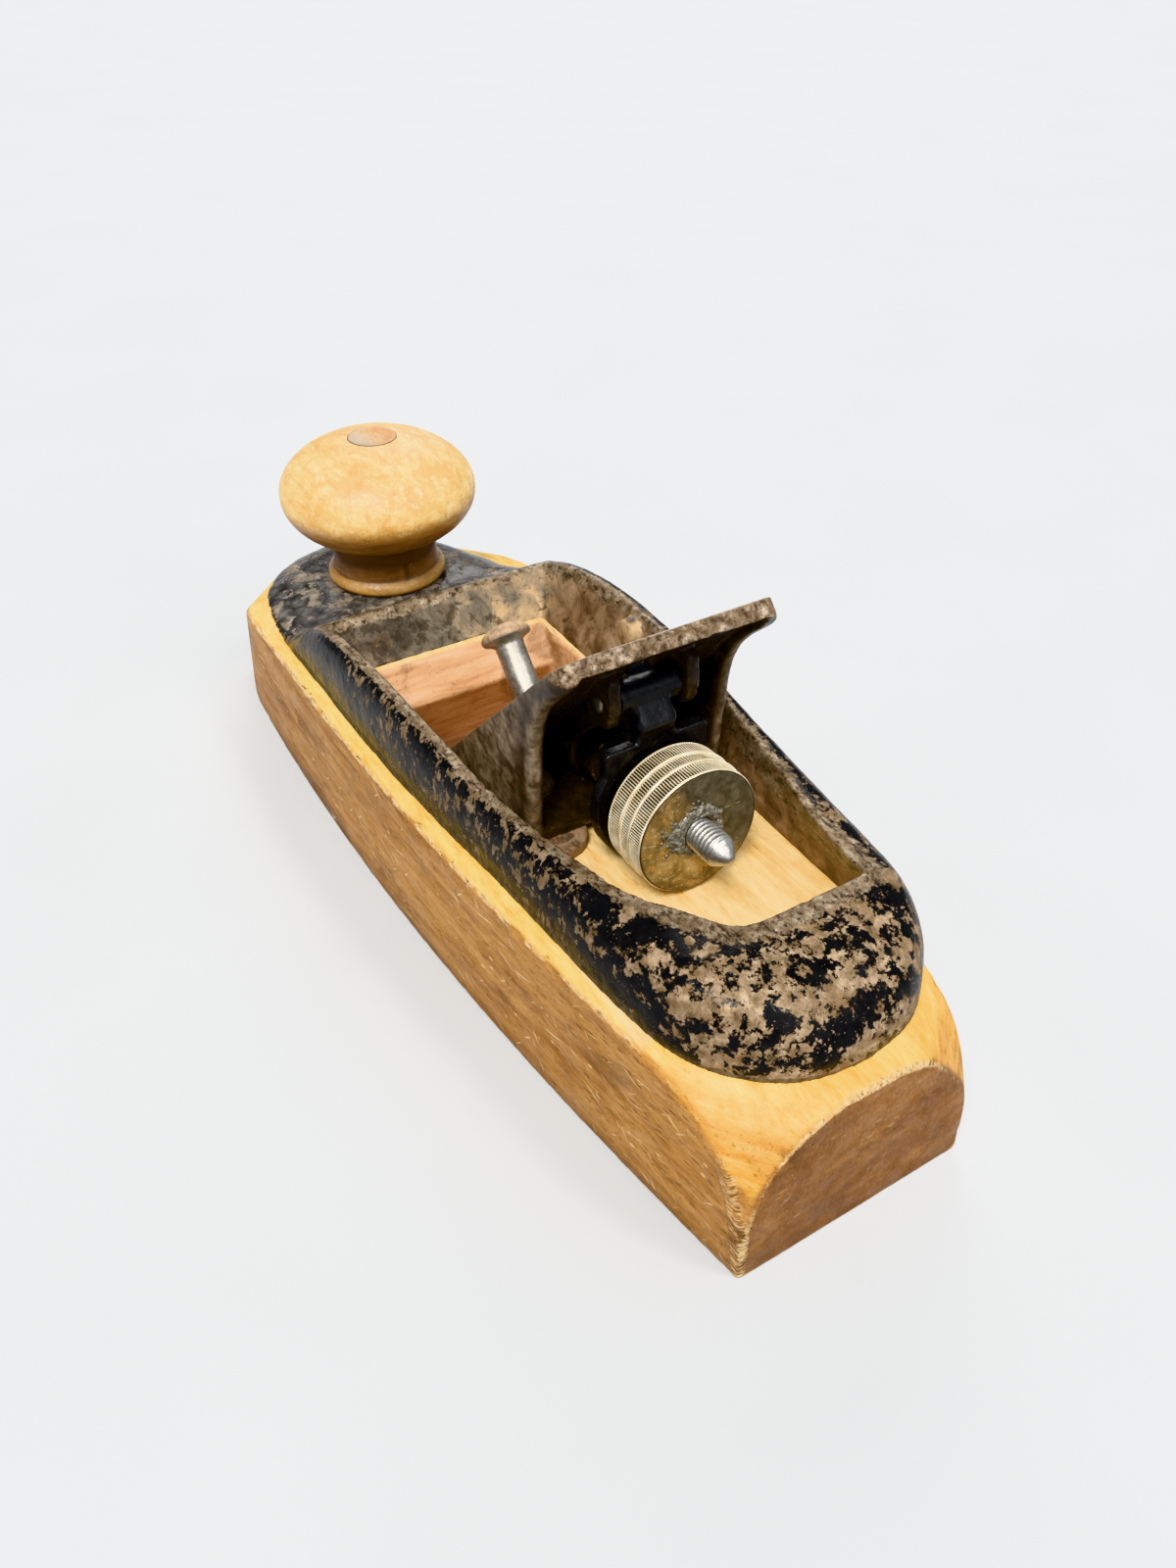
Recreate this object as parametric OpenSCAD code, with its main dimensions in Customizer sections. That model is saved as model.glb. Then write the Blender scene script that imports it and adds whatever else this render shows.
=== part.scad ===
// Transitional bench plane: a wooden body under a cast iron top frame.
// Units are millimetres. X runs from heel to toe, Y to the left, Z up.
// The origin is the middle of the sole, so the sole lies on Z = 0.

/* [Wooden body] */
// Overall length of the wooden body
body_len = 228.6; // [226:0.2:232]
// Half width of the body at its widest point
half_w = 38.95; // [38.5:0.05:39.5]
// Height of the flat seat that carries the frame
seat_z = 37; // [36.8:0.1:37.2]
// Half width of the throat that the cutter passes
throat_half = 22.5; // [22.4:0.1:22.8]
// Width of the mouth at the sole, measured along the body
mouth = 4.6; // [4:0.1:5.2]
// Height of the small bevel at the ledge beside the frame
ledge_drop = 1.0; // [0.5:0.1:1.5]

/* [Top frame] */
// Half width of the frame opening where it meets the wood
open_half = 23.4; // [23.2:0.1:23.6]
// Position of the rear hood's front edge
hood_edge = -86.5; // [-88:0.5:-85]
// Wall thickness of the rear hood
hood_wall = 3.2; // [2.5:0.1:4]
// Thickness of the pads that carry the frog
pad_t = 2.6; // [2.6:0.1:2.8]

/* [Frog] */
// Half width of the frog
frog_half = 22.2; // [21.8:0.1:22.2]
// Thickness of the bed plate
plate_t = 4.5; // [4.2:0.1:4.8]
// Thickness of each side cheek
cheek_t = 3.3; // [2.8:0.1:3.6]

/* [Adjuster] */
// Outer diameter of the adjusting wheel
wheel_d = 26.1; // [25.5:0.1:26.1]
// Width of the adjusting wheel
wheel_w = 10.8; // [10:0.1:11]
// Diameter of the threaded stud
stud_d = 6.35; // [6:0.05:6.5]
// Radial running clearance on the stud
run_gap = 0.05; // [0.02:0.01:0.1]
// Diameter of the yoke pin
pin_d = 3.2; // [3:0.1:3.4]

/* [Front knob] */
// Largest diameter of the knob
knob_d = 49.4; // [47:0.1:51]
// Height of the knob's top above the sole
knob_top = 75.5; // [74.5:0.1:76.5]
// Position of the knob's axis along the body
knob_x = 79.3; // [78.5:0.1:80]

/* [Hidden] */

hl = body_len / 2;
bed = 37.1;                 // the bed plane is X + Z = bed
tilt = 3;                   // the stud rises this much towards its free end
ax_x = -62.3;               // centre of the wheel's outer face
ax_z = 50.95;
frog_z = seat_z + pad_t;    // underside of the frog
pin_x = -43;
cap_u = 29.8;               // the cap screw's place, measured up the bed
pin_z = 71;
beech = "burlywood";
iron = [0.13, 0.12, 0.12];
steel = [0.62, 0.61, 0.58];
brassy = [0.80, 0.72, 0.50];

// ---- shared helpers -------------------------------------------------------

// skin of a row of sections that all have the same number of points
module loft(s) {
    n = len(s);
    m = len(s[0]);
    polyhedron(
        points = [for (a = s) for (p = a) p],
        faces = concat(
            [[for (j = [m - 1:-1:0]) j]],
            [for (i = [0:n - 2]) for (j = [0:m - 1])
                [i * m + j, i * m + (j + 1) % m, (i + 1) * m + j]],
            [for (i = [0:n - 2]) for (j = [0:m - 1])
                [i * m + (j + 1) % m, (i + 1) * m + (j + 1) % m, (i + 1) * m + j]],
            [[for (j = [0:m - 1]) (n - 1) * m + j]]),
        convexity = 8);
}

// outline in X and Z, extruded across the body between y = a and y = b
module side_prism(pts, a, b) {
    translate([0, b, 0]) rotate([90, 0, 0])
        linear_extrude(height = b - a) polygon(pts);
}

// local frame on the bed plane: Z points out of the bed, X up the bed
module on_bed(u, v = 0) {
    translate([bed / 2 - u / sqrt(2), v, bed / 2 + u / sqrt(2)])
        rotate([0, 45, 0]) rotate([0, 0, 180]) children();
}

// local frame on the stud: Z points forward along it, s is measured from
// the wheel's outer face
module on_stud(s = 0) {
    translate([ax_x, 0, ax_z]) rotate([0, 90 + tilt, 0])
        translate([0, 0, s]) children();
}

// plain wood screw pointing down from z = 0: shank and tapered point
module screw_core(r, l) {
    translate([0, 0, -l + 2.5]) cylinder(h = l - 2.5, r = r, $fn = 32);
    translate([0, 0, -l]) cylinder(h = 2.5, r1 = 0.5, r2 = r, $fn = 32);
}

// straight screwdriver slot across a head
module drive_slot(r, w, d) {
    translate([-r - 1, -w / 2, -d]) cube([2 * r + 2, w, d + 5]);
}

// ---- wooden body ----------------------------------------------------------

toe_dx = hl - 114.3;
function half_at(x) = half_w - 0.00057 * pow(x - 40.2, 2)
    - (x > 90 ? 0.0085 * pow(x - 90, 2) : 0);
// the seat is flat up to the knob and crowned beside it: its middle line and
// its left and right margins fall towards the toe
mid_drop = [[48, 0], [60, 0.4], [75, 0.8], [90, 1.4], [98, 2], [103.5, 2.8],
            [107, 3.7], [109.5, 4.6], [114.3, 6.6]];
left_drop = [[30, 0], [48, 0.6], [60, 1.3], [75, 2.2], [85, 3], [95, 3.8],
             [107, 4.5], [109.5, 4.8], [114.3, 7]];
right_drop = [[30, 0], [48, 0.9], [60, 2], [75, 3.4], [85, 4.2], [95, 4.7],
              [107, 4.9], [109.5, 4.9], [114.3, 7]];
function seat_at(x) = seat_z - lookup(x, mid_drop);
function seat_l(x) = seat_z - lookup(x, left_drop);
function seat_r(x) = seat_z - lookup(x, right_drop);
// height of the side's top edge, from the distance to the nearer end
rise_l = [[0, 0], [2, 14.5], [3.8, 20], [5.4, 25], [7.8, 29], [11.3, 31.7],
          [14.4, 33.2], [19.6, 34.8], [27, 35.8], [36, 36]];
rise_r = [[0, 0], [1.6, 10], [3.1, 17], [4.7, 21], [6.7, 24.3], [9, 26.9],
          [11.2, 28.5], [14, 29.8], [19, 31], [30, 33.2], [45, 35.4], [55, 36]];
rise_tl = [[0, 0], [4, 12], [8, 19], [13, 24.5], [19, 28.5], [27, 31.6],
           [34, 33.4], [40, 34.4], [50, 35.2], [62, 36]];
rise_tr = [[0, 0], [4, 10], [8, 16.5], [13, 21.5], [19, 25.5], [27, 28.8],
           [36, 31.2], [46, 33.2], [58, 34.8], [74, 36]];
// half width of the end faces at each height
end_l = [[0, 25.3], [12, 25], [19, 24], [24, 22.7], [28, 20.7], [31, 18.2],
         [34, 14.4], [36, 9.8], [37, 5]];
end_r = [[0, 25.3], [12, 24.2], [19, 22.4], [24, 19.7], [28, 16.8], [31, 14.4],
         [34, 11.4], [36, 8], [37, 3.5]];
end_t = [[0, 31.5], [8, 30.9], [14, 28.6], [18, 25.8], [22, 21],
         [25, 16], [27, 11], [28.4, 4]];
// the worn toe leans back a little towards its top
function toe_lean(z) = 2.6 * pow(max(z - 8, 0) / 20, 2);
function toe_in(x) = lookup(x, [[78, 0], [88, 0.7], [95, 1.6], [102, 2.6],
                                [108, 2.8], [114.3, 0.4]]);
stations = [for (i = [0:32]) let (t = i / 32)
    -hl + 2 * hl * (t - 0.11 * sin(360 * t))];

function edge_l(x) = x > 30 ? lookup(hl - x, rise_tl) : lookup(x + hl, rise_l);
function edge_r(x) = x > 30 ? lookup(hl - x, rise_tr) : lookup(x + hl, rise_r);
function body_points() = concat(
    [for (x = stations) for (s = [-1, 1]) [x, s * half_at(x), -2]],
    [for (x = stations) [x, half_at(x) - toe_in(x), edge_l(x)]],
    [for (x = stations) [x, toe_in(x) - half_at(x), edge_r(x)]],
    [for (x = stations) if (x > -96 && x < 40)
        [x, half_at(x) - 2.6, seat_z]],
    [for (x = stations) if (x > -62 && x < 40)
        [x, 2.6 - half_at(x), seat_z]],
    [for (e = end_l) [-hl, e[1], e[0]]],
    [for (e = end_r) [-hl, -e[1], e[0]]],
    [for (e = end_t) for (s = [-1, 1]) [hl - toe_lean(e[0]), s * e[1], e[0]]],
    [for (x = frame_x) if (x > 45) for (p = seat_line(x)) p]);

module body_shell() {
    p = body_points();
    difference() {
        intersection() {
            hull() polyhedron(points = p,
                faces = [for (i = [0:len(p) - 3]) [i, i + 1, i + 2]]);
            translate([-hl - 1, -60, 0]) cube([body_len + 2, 120, 60]);
        }
        seat_cut();
    }
}

// clears the crowned seat at the toe down to the frame's own underside
module seat_cut() {
    loft(concat(
        [let (r = lookup(29, base_right), l = lookup(29, base_tab))
            [[29, -r, 60], [29, l, 60], [29, l, 38], [29, l / 2, 37.8],
             [29, 0, 37.7], [29, -r / 2, 37.8], [29, -r, 38]]],
        [for (x = frame_x) if (x >= 30) let (q = seat_line(x))
            [[x, q[0][1], 60], [x, q[4][1], 60], q[4], q[3], q[2], q[1], q[0]]]));
}

throat_line = [[bed, -1], [bed, 0], [6.6, bed - 6.6], [3.2, 27.2],
               [-8.9 - pad_t - 0.2, seat_z + 3], [36.2, seat_z + 3],
               [36.2, seat_z], [30, 28.8], [bed + mouth, 0],
               [bed + mouth, -1]];

module wood_body() {
    color(beech) difference() {
        body_shell();
        side_prism(throat_line, -throat_half, throat_half);
        // pocket behind the frog for the boss of the cap screw
        on_bed(cap_u) translate([0, 0, -11]) cylinder(h = 12, r = 7, $fn = 40);
        // pilot holes
        translate([knob_x, 0, 0]) translate([0, 0, 48]) screw_core(2.6, 40);
        translate([99.5, 0, 38]) screw_core(2, 22);
        for (s = [-1, 1]) {
            translate([-37.2, s * 15.6, 40]) screw_core(2, 22);
            translate([-26, s * 14.4, 44]) screw_core(2.4, 28);
        }
    }
}

// ---- cast top frame -------------------------------------------------------

// half width of the frame where it meets the wood, left and right
base_heel = [[-109.6, 1.5], [-109.2, 5], [-108.4, 9], [-106.7, 13.2],
             [-104.6, 16.4], [-102, 19.3], [-98.5, 22.3], [-95.4, 24.2],
             [-92, 25.6], [-86.5, 27], [-72, 28.8], [-60, 29.6], [-40, 31.3],
             [-20, 33.2], [0, 34.7], [30, 35.5]];
base_tab = concat(base_heel, [[56, 35.4], [68, 34.7], [78, 33.4], [84, 32.2],
             [92, 29.8], [98, 26.2], [103.5, 21.2], [106.6, 16],
             [108.4, 10.5], [109.2, 6], [109.5, 1.5]]);
base_right = concat(base_heel, [[47, 35.5], [56, 34.6], [68, 31.8],
             [78, 28.8], [84, 26.9], [92, 23.8], [98, 20.2], [103.5, 15.6],
             [106.6, 11.2], [108.4, 7.2], [109.2, 4], [109.5, 1.2]]);
// height of the rim above the sole
rim_tab = [[-86.5, 51.8], [-60, 51.7], [-40, 52], [-20, 53.4], [-10, 54.1],
           [0, 54.4], [10, 54.3], [20, 53.5], [30, 52], [40, 49.6],
           [47, 46.8], [50, 45.6], [53, 43], [56, 41], [59, 39.5],
           [63, 38.9], [68, 38.5]];
// half width of the opening at the height of the rim
in_r = [[-86.5, 17.6], [-70, 19.8], [-60, 22.5], [-50, 24.7], [-40, 26.4],
        [-30, 27.8], [-20, 28.6], [-10, 29.4], [0, 29.9], [20, 30.3],
        [60, 29.6]];
in_l = [[-86.5, 2], [-85.6, 7.5], [-81, 11.9], [-76.4, 15], [-72, 18.2],
        [-68, 20.4], [-60, 22.5], [-50, 24.7], [-40, 26.4], [-30, 27.8],
        [-20, 28.6], [-10, 29.4], [0, 29.9], [20, 30.3], [60, 29.6]];

function hood_t(x) = (hood_edge - x) / (109.6 + hood_edge);
function rim_at(x) = x >= hood_edge ? (x < 68 ? lookup(x, rim_tab)
        : seat_at(x) + 2.4 - 1 * pow((x - 68) / 41.5, 2))
    : seat_z + 0.4 + (lookup(hood_edge, rim_tab) - seat_z - 0.4)
        * pow(1 - pow(min(hood_t(x), 1), 2.3), 1 / 2.3);
function flat_at(x) = x < hood_edge
    ? max(17.6 * pow(1 - min(hood_t(x), 1), 0.6), 0.5)
    : x < 48 ? lookup(x, in_r)
    : lookup(x, [[48, 30], [56, 29.5], [64, 22], [72, 15], [92, 10],
                 [103.5, 5], [109.5, 0.6]]);
function pow_at(x) = x < hood_edge ? 3.4 - 1.1 * hood_t(x)
    : x < -50 ? 3.4 + 0.2 * (x - hood_edge) / 36.5
    : x < 56 ? 3.6 : 2.4;

arc_n = 7;
// line of the seat across the frame, from right to left
function seat_line(x) = let (r = lookup(x, base_right), l = lookup(x, base_tab),
                             m = abs(x) > 109 ? seat_r(x) - 0.03 : seat_at(x))
    [[x, -r, seat_r(x)], [x, -r / 2, m - 0.25 * (m - seat_r(x))], [x, 0, m],
     [x, l / 2, m - 0.25 * (m - seat_l(x))], [x, l, seat_l(x)]];
function rim_side(x, b, z0, s) =
    let (c = min(flat_at(x), b - 0.4), h = rim_at(x) - z0, n = pow_at(x),
         k = x > 63 ? min((x - 63) / 8, 1) * 0.45 : 0)
    [for (i = [0:arc_n]) let (a = 90 * i / arc_n,
                              t = k * (1 - pow(sin(a), 2)))
        [x, s * (c + (b - c) * pow(cos(a), 2 / n)),
            z0 + h * pow(sin(a), 2 / n) * (1 - t)]];
function rim_section(x) =
    let (q = seat_line(x), top = rim_at(x),
         rs = rim_side(x, -q[0][1], q[0][2], -1),
         ls = rim_side(x, q[4][1], q[4][2], 1))
    concat(rs, [[x, 0, top + 0.03]], [for (i = [arc_n:-1:0]) ls[i]],
           [q[3], q[2], q[1]]);

frame_x = [-109.6, -109.2, -108.4, -106.7, -104.6, -102, -98.5, -95.4, -92,
           -86.5, -80, -72, -60, -50, -40, -30, -20, -10, 0, 10, 20, 30, 40,
           47, 50, 53, 56, 59, 63, 68, 72, 78, 84, 88, 92, 98, 103.5, 106.6,
           108.4, 109.2, 109.5];

module frame_outer() { loft([for (x = frame_x) rim_section(x)]); }

// the open tub: narrow at the wood, flaring to the rim, with a sloped front
module frame_tub() {
    xs = [-86.4, -85.5, -81, -76.4, -72, -68, -60, -50, -40, -30, -20, -10, 0,
          20, 32];
    g = 3;
    row = function (x, z, r, l, dx) let (h = z - seat_z + 1)
        [[x - h * dx, -open_half, seat_z - 1], [x, -r, z],
         [x + g * dx, 0.4 - r - (r - open_half) * g / h, z + g],
         [x + g * dx, l + (l - open_half) * g / h - 0.4, z + g],
         [x, l, z], [x - h * dx, open_half, seat_z - 1]];
    loft(concat([for (x = xs)
            row(x, rim_at(x), lookup(x, in_r) - 0.2, lookup(x, in_l) - 0.2, 0)],
        [row(47.2, 46.8, 29.8, 29.8, 0.898)]));
}

// hollow below the rear hood
module hood_hollow() {
    xs = [-106, -105, -102, -98.5, -95.4, -92, -88, -85.9];
    loft([for (x = xs)
        let (b = min(max(lookup(x, base_tab) - hood_wall - 0.6, 3),
                     open_half),
             q = min(max((-x - 85.9) / 20.1, 0), 1),
             h = 2.5 + (11.6 - 2.5) * pow(max(1 - pow(q, 2.2), 0.001), 0.5))
        concat([for (i = [0:6]) let (a = 90 * i / 6)
                [x, -b * pow(cos(a), 0.66), seat_z - 1 + h * pow(sin(a), 0.66)]],
               [for (i = [5:-1:0]) let (a = 90 * i / 6)
                [x, b * pow(cos(a), 0.66), seat_z - 1 + h * pow(sin(a), 0.66)]])]);
}

module frog_pad(s) {
    translate([0, 0, seat_z]) linear_extrude(height = pad_t) {
        translate([-37.2, s * 15.6]) circle(r = 6.4, $fn = 40);
        translate([-37.2, s * 15.6 - 6.4]) square([19.2, 12.8]);
        translate([-34, min(s * 15.6, s * 24.6)]) square([16, 9]);
    }
}

module top_frame() {
    color(iron) difference() {
        union() {
            difference() {
                frame_outer();
                frame_tub();
                hood_hollow();
                // flat seat for the knob
                translate([knob_x, 0, 38.2]) cylinder(h = 9, r = 15.8, $fn = 64);
            }
            for (s = [-1, 1]) frog_pad(s);
            // small cast lug on the right wall
            translate([3.2, -25.6, 50.2]) rotate([90, 0, 0])
                cylinder(h = 5.6, r = 3.1, $fn = 32);
        }
        translate([knob_x, 0, 30]) cylinder(h = 12, r = 2.6, $fn = 32);
        translate([99.5, 0, 30]) cylinder(h = 12, r = 2, $fn = 32);
        translate([99.5, 0, seat_at(99.5) + 0.3])
            cylinder(h = 3.2, r1 = 2, r2 = 5.6, $fn = 40);
        for (s = [-1, 1]) {
            translate([-37.2, s * 15.6, 30]) cylinder(h = 12, r = 2, $fn = 32);
            translate([-37.2, s * 15.6, frog_z - 2])
                cylinder(h = 2.001, r1 = 2, r2 = 4, $fn = 40);
            translate([-26, s * 14.4, 30]) cylinder(h = 12, r = 2.4, $fn = 32);
        }
    }
}

// countersunk wood screws that hold the frame to the body
module flat_screw(l, rh, h) {
    difference() {
        union() {
            translate([0, 0, -h]) cylinder(h = h, r1 = 2, r2 = rh, $fn = 40);
            translate([0, 0, -h]) screw_core(2, l - h);
        }
        drive_slot(rh, 1, 0.9);
    }
}

module frame_screws() {
    color(steel) {
        translate([99.5, 0, seat_at(99.5) + 2.0]) flat_screw(18, 3.8, 1.7);
        for (s = [-1, 1])
            translate([-37.2, s * 15.6, frog_z]) flat_screw(18, 4, 2);
    }
}

// ---- frog -----------------------------------------------------------------

frog_line = [[6.6, bed - 6.6], [-50.3, 87.4], [-52.4, 87.5], [-53.6, 86.7],
             [-53.7, 85.4], [-51, 81.6], [-47.2, 78], [-43.9, 74.1],
             [-41.7, 69.6], [-40.7, 64.6], [-40.2, 58], [-39.4, 46],
             [-39, frog_z], [bed - plate_t * sqrt(2) - frog_z, frog_z],
             [3.42, 27.32]];
frog_inside = [[bed - plate_t * sqrt(2) - frog_z - 3, frog_z + 3],
               [-33.4, 64.1], [-37.4, 69], [-41.3, 74.4], [-45, 78.6],
               [-48.8, 82], [-53.2, 85.2], [-60, 86], [-64, frog_z + 3]];

module frog() {
    color(iron) difference() {
        union() {
            intersection() {
                difference() {
                    side_prism(frog_line, -frog_half, frog_half);
                    side_prism(frog_inside, cheek_t - frog_half,
                               frog_half - cheek_t);
                }
                // rounded upper corners, seen square to the bed
                on_bed(0) translate([0, 0, -60]) linear_extrude(height = 70)
                    union() {
                        translate([-60, -frog_half])
                            square([150.4, 2 * frog_half]);
                        translate([90, 7 - frog_half])
                            square([8, 2 * frog_half - 10]);
                        translate([90.4, 7 - frog_half])
                            circle(r = 7, $fn = 48);
                        translate([90, frog_half - 6]) square([5, 6]);
                        translate([95, frog_half - 3])
                            circle(r = 3, $fn = 32);
                    }
            }
            // ribs that carry the yoke pin
            for (s = [-1, 1]) side_prism(
                [[-21, 52.5], [-32, 63], [-38.5, 73], [-43, 78.5],
                 [-46.6, 77], [-47, 71], [-46.2, 67], [-42.4, 65.6],
                 [-38, 62], [-31, 54]],
                s > 0 ? 7 : -9.6, s > 0 ? 9.6 : -7);
            // boss of the stud and boss of the cap screw
            on_stud(27) cylinder(h = 20, r = 6.2, $fn = 48);
            on_bed(cap_u) translate([0, 0, -9.5])
                cylinder(h = 7, r = 6.2, $fn = 40);
        }
        // keep the bed face clear
        side_prism([[60, bed - 60], [-60, bed + 60], [20, bed + 60]], -30, 30);
        on_stud(20) cylinder(h = 60, r = stud_d / 2, $fn = 48);
        on_bed(cap_u) translate([0, 0, -20]) cylinder(h = 40, r = 3.3, $fn = 40);
        translate([pin_x, 12, pin_z]) rotate([90, 0, 0])
            cylinder(h = 24, r = pin_d / 2, $fn = 32);
        // slot for the finger of the yoke
        on_bed(81.5) translate([-7, -3.6, -14]) cube([13.5, 7.2, 20]);
        for (s = [-1, 1])
            translate([-26, s * 14.4, 30]) cylinder(h = 20, r = 2.4, $fn = 32);
    }
}

module frog_screws() {
    color(steel) for (s = [-1, 1]) translate([-26, s * 14.4, frog_z + 3.8])
        difference() {
            union() {
                intersection() {
                    translate([0, 0, -2.2]) sphere(r = 4.6, $fn = 40);
                    cylinder(h = 4, r = 4.2, $fn = 40);
                }
                screw_core(2.4, 24);
            }
            translate([0, 0, 2.4]) drive_slot(4.4, 1, 1.1);
        }
}

module frog_washers() {
    color(steel) for (s = [-1, 1])
        translate([-26, s * 14.4, frog_z + 3]) difference() {
            cylinder(h = 0.8, r = 4.4, $fn = 40);
            translate([0, 0, -1]) cylinder(h = 3, r = 2.4, $fn = 32);
        }
}

// headed post that holds the cap down, square to the bed
module cap_screw() {
    color(steel) on_bed(cap_u) {
        translate([0, 0, -10]) cylinder(h = 28.6, r = 3.3, $fn = 40);
        translate([0, 0, 16.8]) rotate_extrude($fn = 48)
            polygon([[0, 0], [3.3, 0], [4.0, 1.6], [5.5, 2.2], [5.7, 2.8],
                     [5.2, 3.8], [3.8, 4.8], [1.9, 5.3], [0, 5.4]]);
    }
}

// ---- adjuster -------------------------------------------------------------

module adjusting_stud() {
    color(steel) on_stud(-9.6) {
        cylinder(h = 3, r1 = 0.9, r2 = stud_d / 2, $fn = 48);
        translate([0, 0, 3]) cylinder(h = 54, r = stud_d / 2, $fn = 48);
    }
}

// profile of the rim: three knurled bands between two raised lines
function wheel_line() = let (r = wheel_d / 2, w = wheel_w)
    [[5.6, 0], [r - 0.7, 0], [r - 0.3, 0.3], [r - 0.2, 0.6],
     [r - 0.2, w * 0.29], [r - 0.7, w * 0.3], [r - 0.1, w * 0.33],
     [r - 0.1, w * 0.38], [r - 0.7, w * 0.41], [r - 0.2, w * 0.42],
     [r - 0.2, w * 0.58], [r - 0.7, w * 0.59], [r - 0.1, w * 0.62],
     [r - 0.1, w * 0.67], [r - 0.7, w * 0.7], [r - 0.2, w * 0.71],
     [r - 0.2, w - 0.6], [r - 0.3, w - 0.3], [r - 0.7, w], [5.6, w]];

module adjusting_wheel() {
    color(brassy) on_stud() rotate_extrude($fn = 96) polygon(wheel_line());
}

module wheel_bush() {
    color(steel) on_stud(-0.35) difference() {
        cylinder(h = wheel_w + 0.35, r = 5.6, $fn = 64);
        translate([0, 0, -1]) cylinder(h = wheel_w + 3,
            r = stud_d / 2 + run_gap, $fn = 48);
    }
}

module thrust_collar() {
    color(brassy) on_stud(wheel_w + 0.25) rotate_extrude($fn = 72)
        polygon([[stud_d / 2 + 0.1, 0], [10.9, 0], [11.1, 0.3], [11.1, 1.1],
                 [8.8, 1.3], [8.8, 6.1], [10.8, 6.3], [10.8, 7.1],
                 [10.5, 7.4], [stud_d / 2 + 0.1, 7.4]]);
}

fork_s = wheel_w + 0.25 + 3.7;   // middle of the collar's groove

// fork in its own plane: horseshoe round the collar with square shoulders
module fork_outline() {
    difference() {
        union() {
            circle(r = 13.6, $fn = 72);
            translate([2, -11.2]) square([11, 22.4]);
            translate([4, -4.2]) square([13.6, 8.4]);
        }
        circle(r = 9.5, $fn = 72);
        polygon([[0, 0], [-14, 13.5], [-30, 20], [-30, -20], [-14, -13.5]]);
    }
    for (s = [-1, 1]) rotate(s * 134) translate([11.55, 0])
        circle(r = 2.05, $fn = 32);
}

module yoke_lever() {
    color(iron) difference() {
        union() {
            on_stud(fork_s - 1.2) rotate([0, 0, 180])
                linear_extrude(height = 2.4) fork_outline();
            // arm from the fork up to the pin
            side_prism([[-49.2, 66.5], [-47, 62.6], [-44.6, 64],
                        [-40.4, 69], [-44, 73.4]], -3.8, 3.8);
            translate([pin_x, 6.6, pin_z]) rotate([90, 0, 0])
                cylinder(h = 13.2, r = 3.2, $fn = 48);
            // finger that reaches through the frog
            side_prism([[-44.4, 72.2], [-41.4, 69.2], [-37.9, 72.6],
                        [-37.4, 74.2], [-38.2, 76], [-39.8, 76.4]],
                       -2.5, 2.5);
        }
        translate([pin_x, 12, pin_z]) rotate([90, 0, 0])
            cylinder(h = 24, r = pin_d / 2 + 0.05, $fn = 32);
    }
}

module yoke_pin() {
    color(steel) translate([pin_x, 10, pin_z]) rotate([90, 0, 0])
        cylinder(h = 20, r = pin_d / 2, $fn = 32);
}

// ---- front knob -----------------------------------------------------------

kb = 38.2;                   // underside of the knob
function knob_line() = let (r = knob_d / 2, c = knob_top - 14)
    concat([[0, kb], [14.7, kb], [15.25, kb + 0.9], [15.3, kb + 1.9],
            [14.8, kb + 2.9], [14, kb + 3.4], [13.6, kb + 4.4],
            [13.35, kb + 6.4], [13.4, kb + 8.2], [13.9, kb + 10]],
        [for (a = [-52:8:82]) [r * cos(a), c + 14 * sin(a)]],
        [[0, knob_top]]);

module front_knob() {
    color(beech) translate([knob_x, 0, 0]) difference() {
        rotate_extrude($fn = 96) polygon(knob_line());
        translate([0, 0, 30]) cylinder(h = 50, r = 2.6, $fn = 32);
        translate([0, 0, 63]) cylinder(h = 20, r = 6.2, $fn = 48);
    }
}

// turned plug that closes the screw hole, slightly dished
module knob_plug() {
    color("peru") translate([knob_x, 0, 0]) difference() {
        translate([0, 0, 67.5]) cylinder(h = knob_top - 67.7, r = 6.2, $fn = 48);
        translate([0, 0, knob_top + 29.3]) sphere(r = 30, $fn = 96);
    }
}

module knob_screw() {
    color(steel) translate([knob_x, 0, 0]) difference() {
        union() {
            intersection() {
                translate([0, 0, 62.4]) sphere(r = 5, $fn = 48);
                translate([0, 0, 64]) cylinder(h = 6, r = 4.7, $fn = 48);
            }
            translate([0, 0, 64]) screw_core(2.6, 56);
        }
        translate([0, 0, 67.4]) drive_slot(5, 1.2, 1.3);
    }
}

module knob_washer() {
    color(steel) translate([knob_x, 0, 63]) difference() {
        cylinder(h = 1, r = 5.8, $fn = 48);
        translate([0, 0, -1]) cylinder(h = 3, r = 2.6, $fn = 32);
    }
}

wood_body();
top_frame();
frog();
front_knob();
knob_plug();
knob_screw();
knob_washer();
frame_screws();
frog_screws();
frog_washers();
cap_screw();
adjusting_stud();
adjusting_wheel();
wheel_bush();
thrust_collar();
yoke_lever();
yoke_pin();
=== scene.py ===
import math

import bmesh
import bpy
import numpy as np
from mathutils import Matrix, Vector


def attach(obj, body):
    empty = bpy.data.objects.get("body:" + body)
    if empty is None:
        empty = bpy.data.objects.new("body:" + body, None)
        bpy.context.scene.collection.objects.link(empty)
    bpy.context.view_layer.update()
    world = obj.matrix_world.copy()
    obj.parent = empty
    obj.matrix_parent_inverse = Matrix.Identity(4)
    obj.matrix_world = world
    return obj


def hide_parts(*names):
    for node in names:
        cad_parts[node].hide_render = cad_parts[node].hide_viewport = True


# Transitional bench plane. The frame is in metres: +X to the toe, +Y to the
# left, +Z up, and the sole lies on Z = 0. Shapes below are worked out in
# millimetres and scaled once, when a mesh is made.

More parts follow.
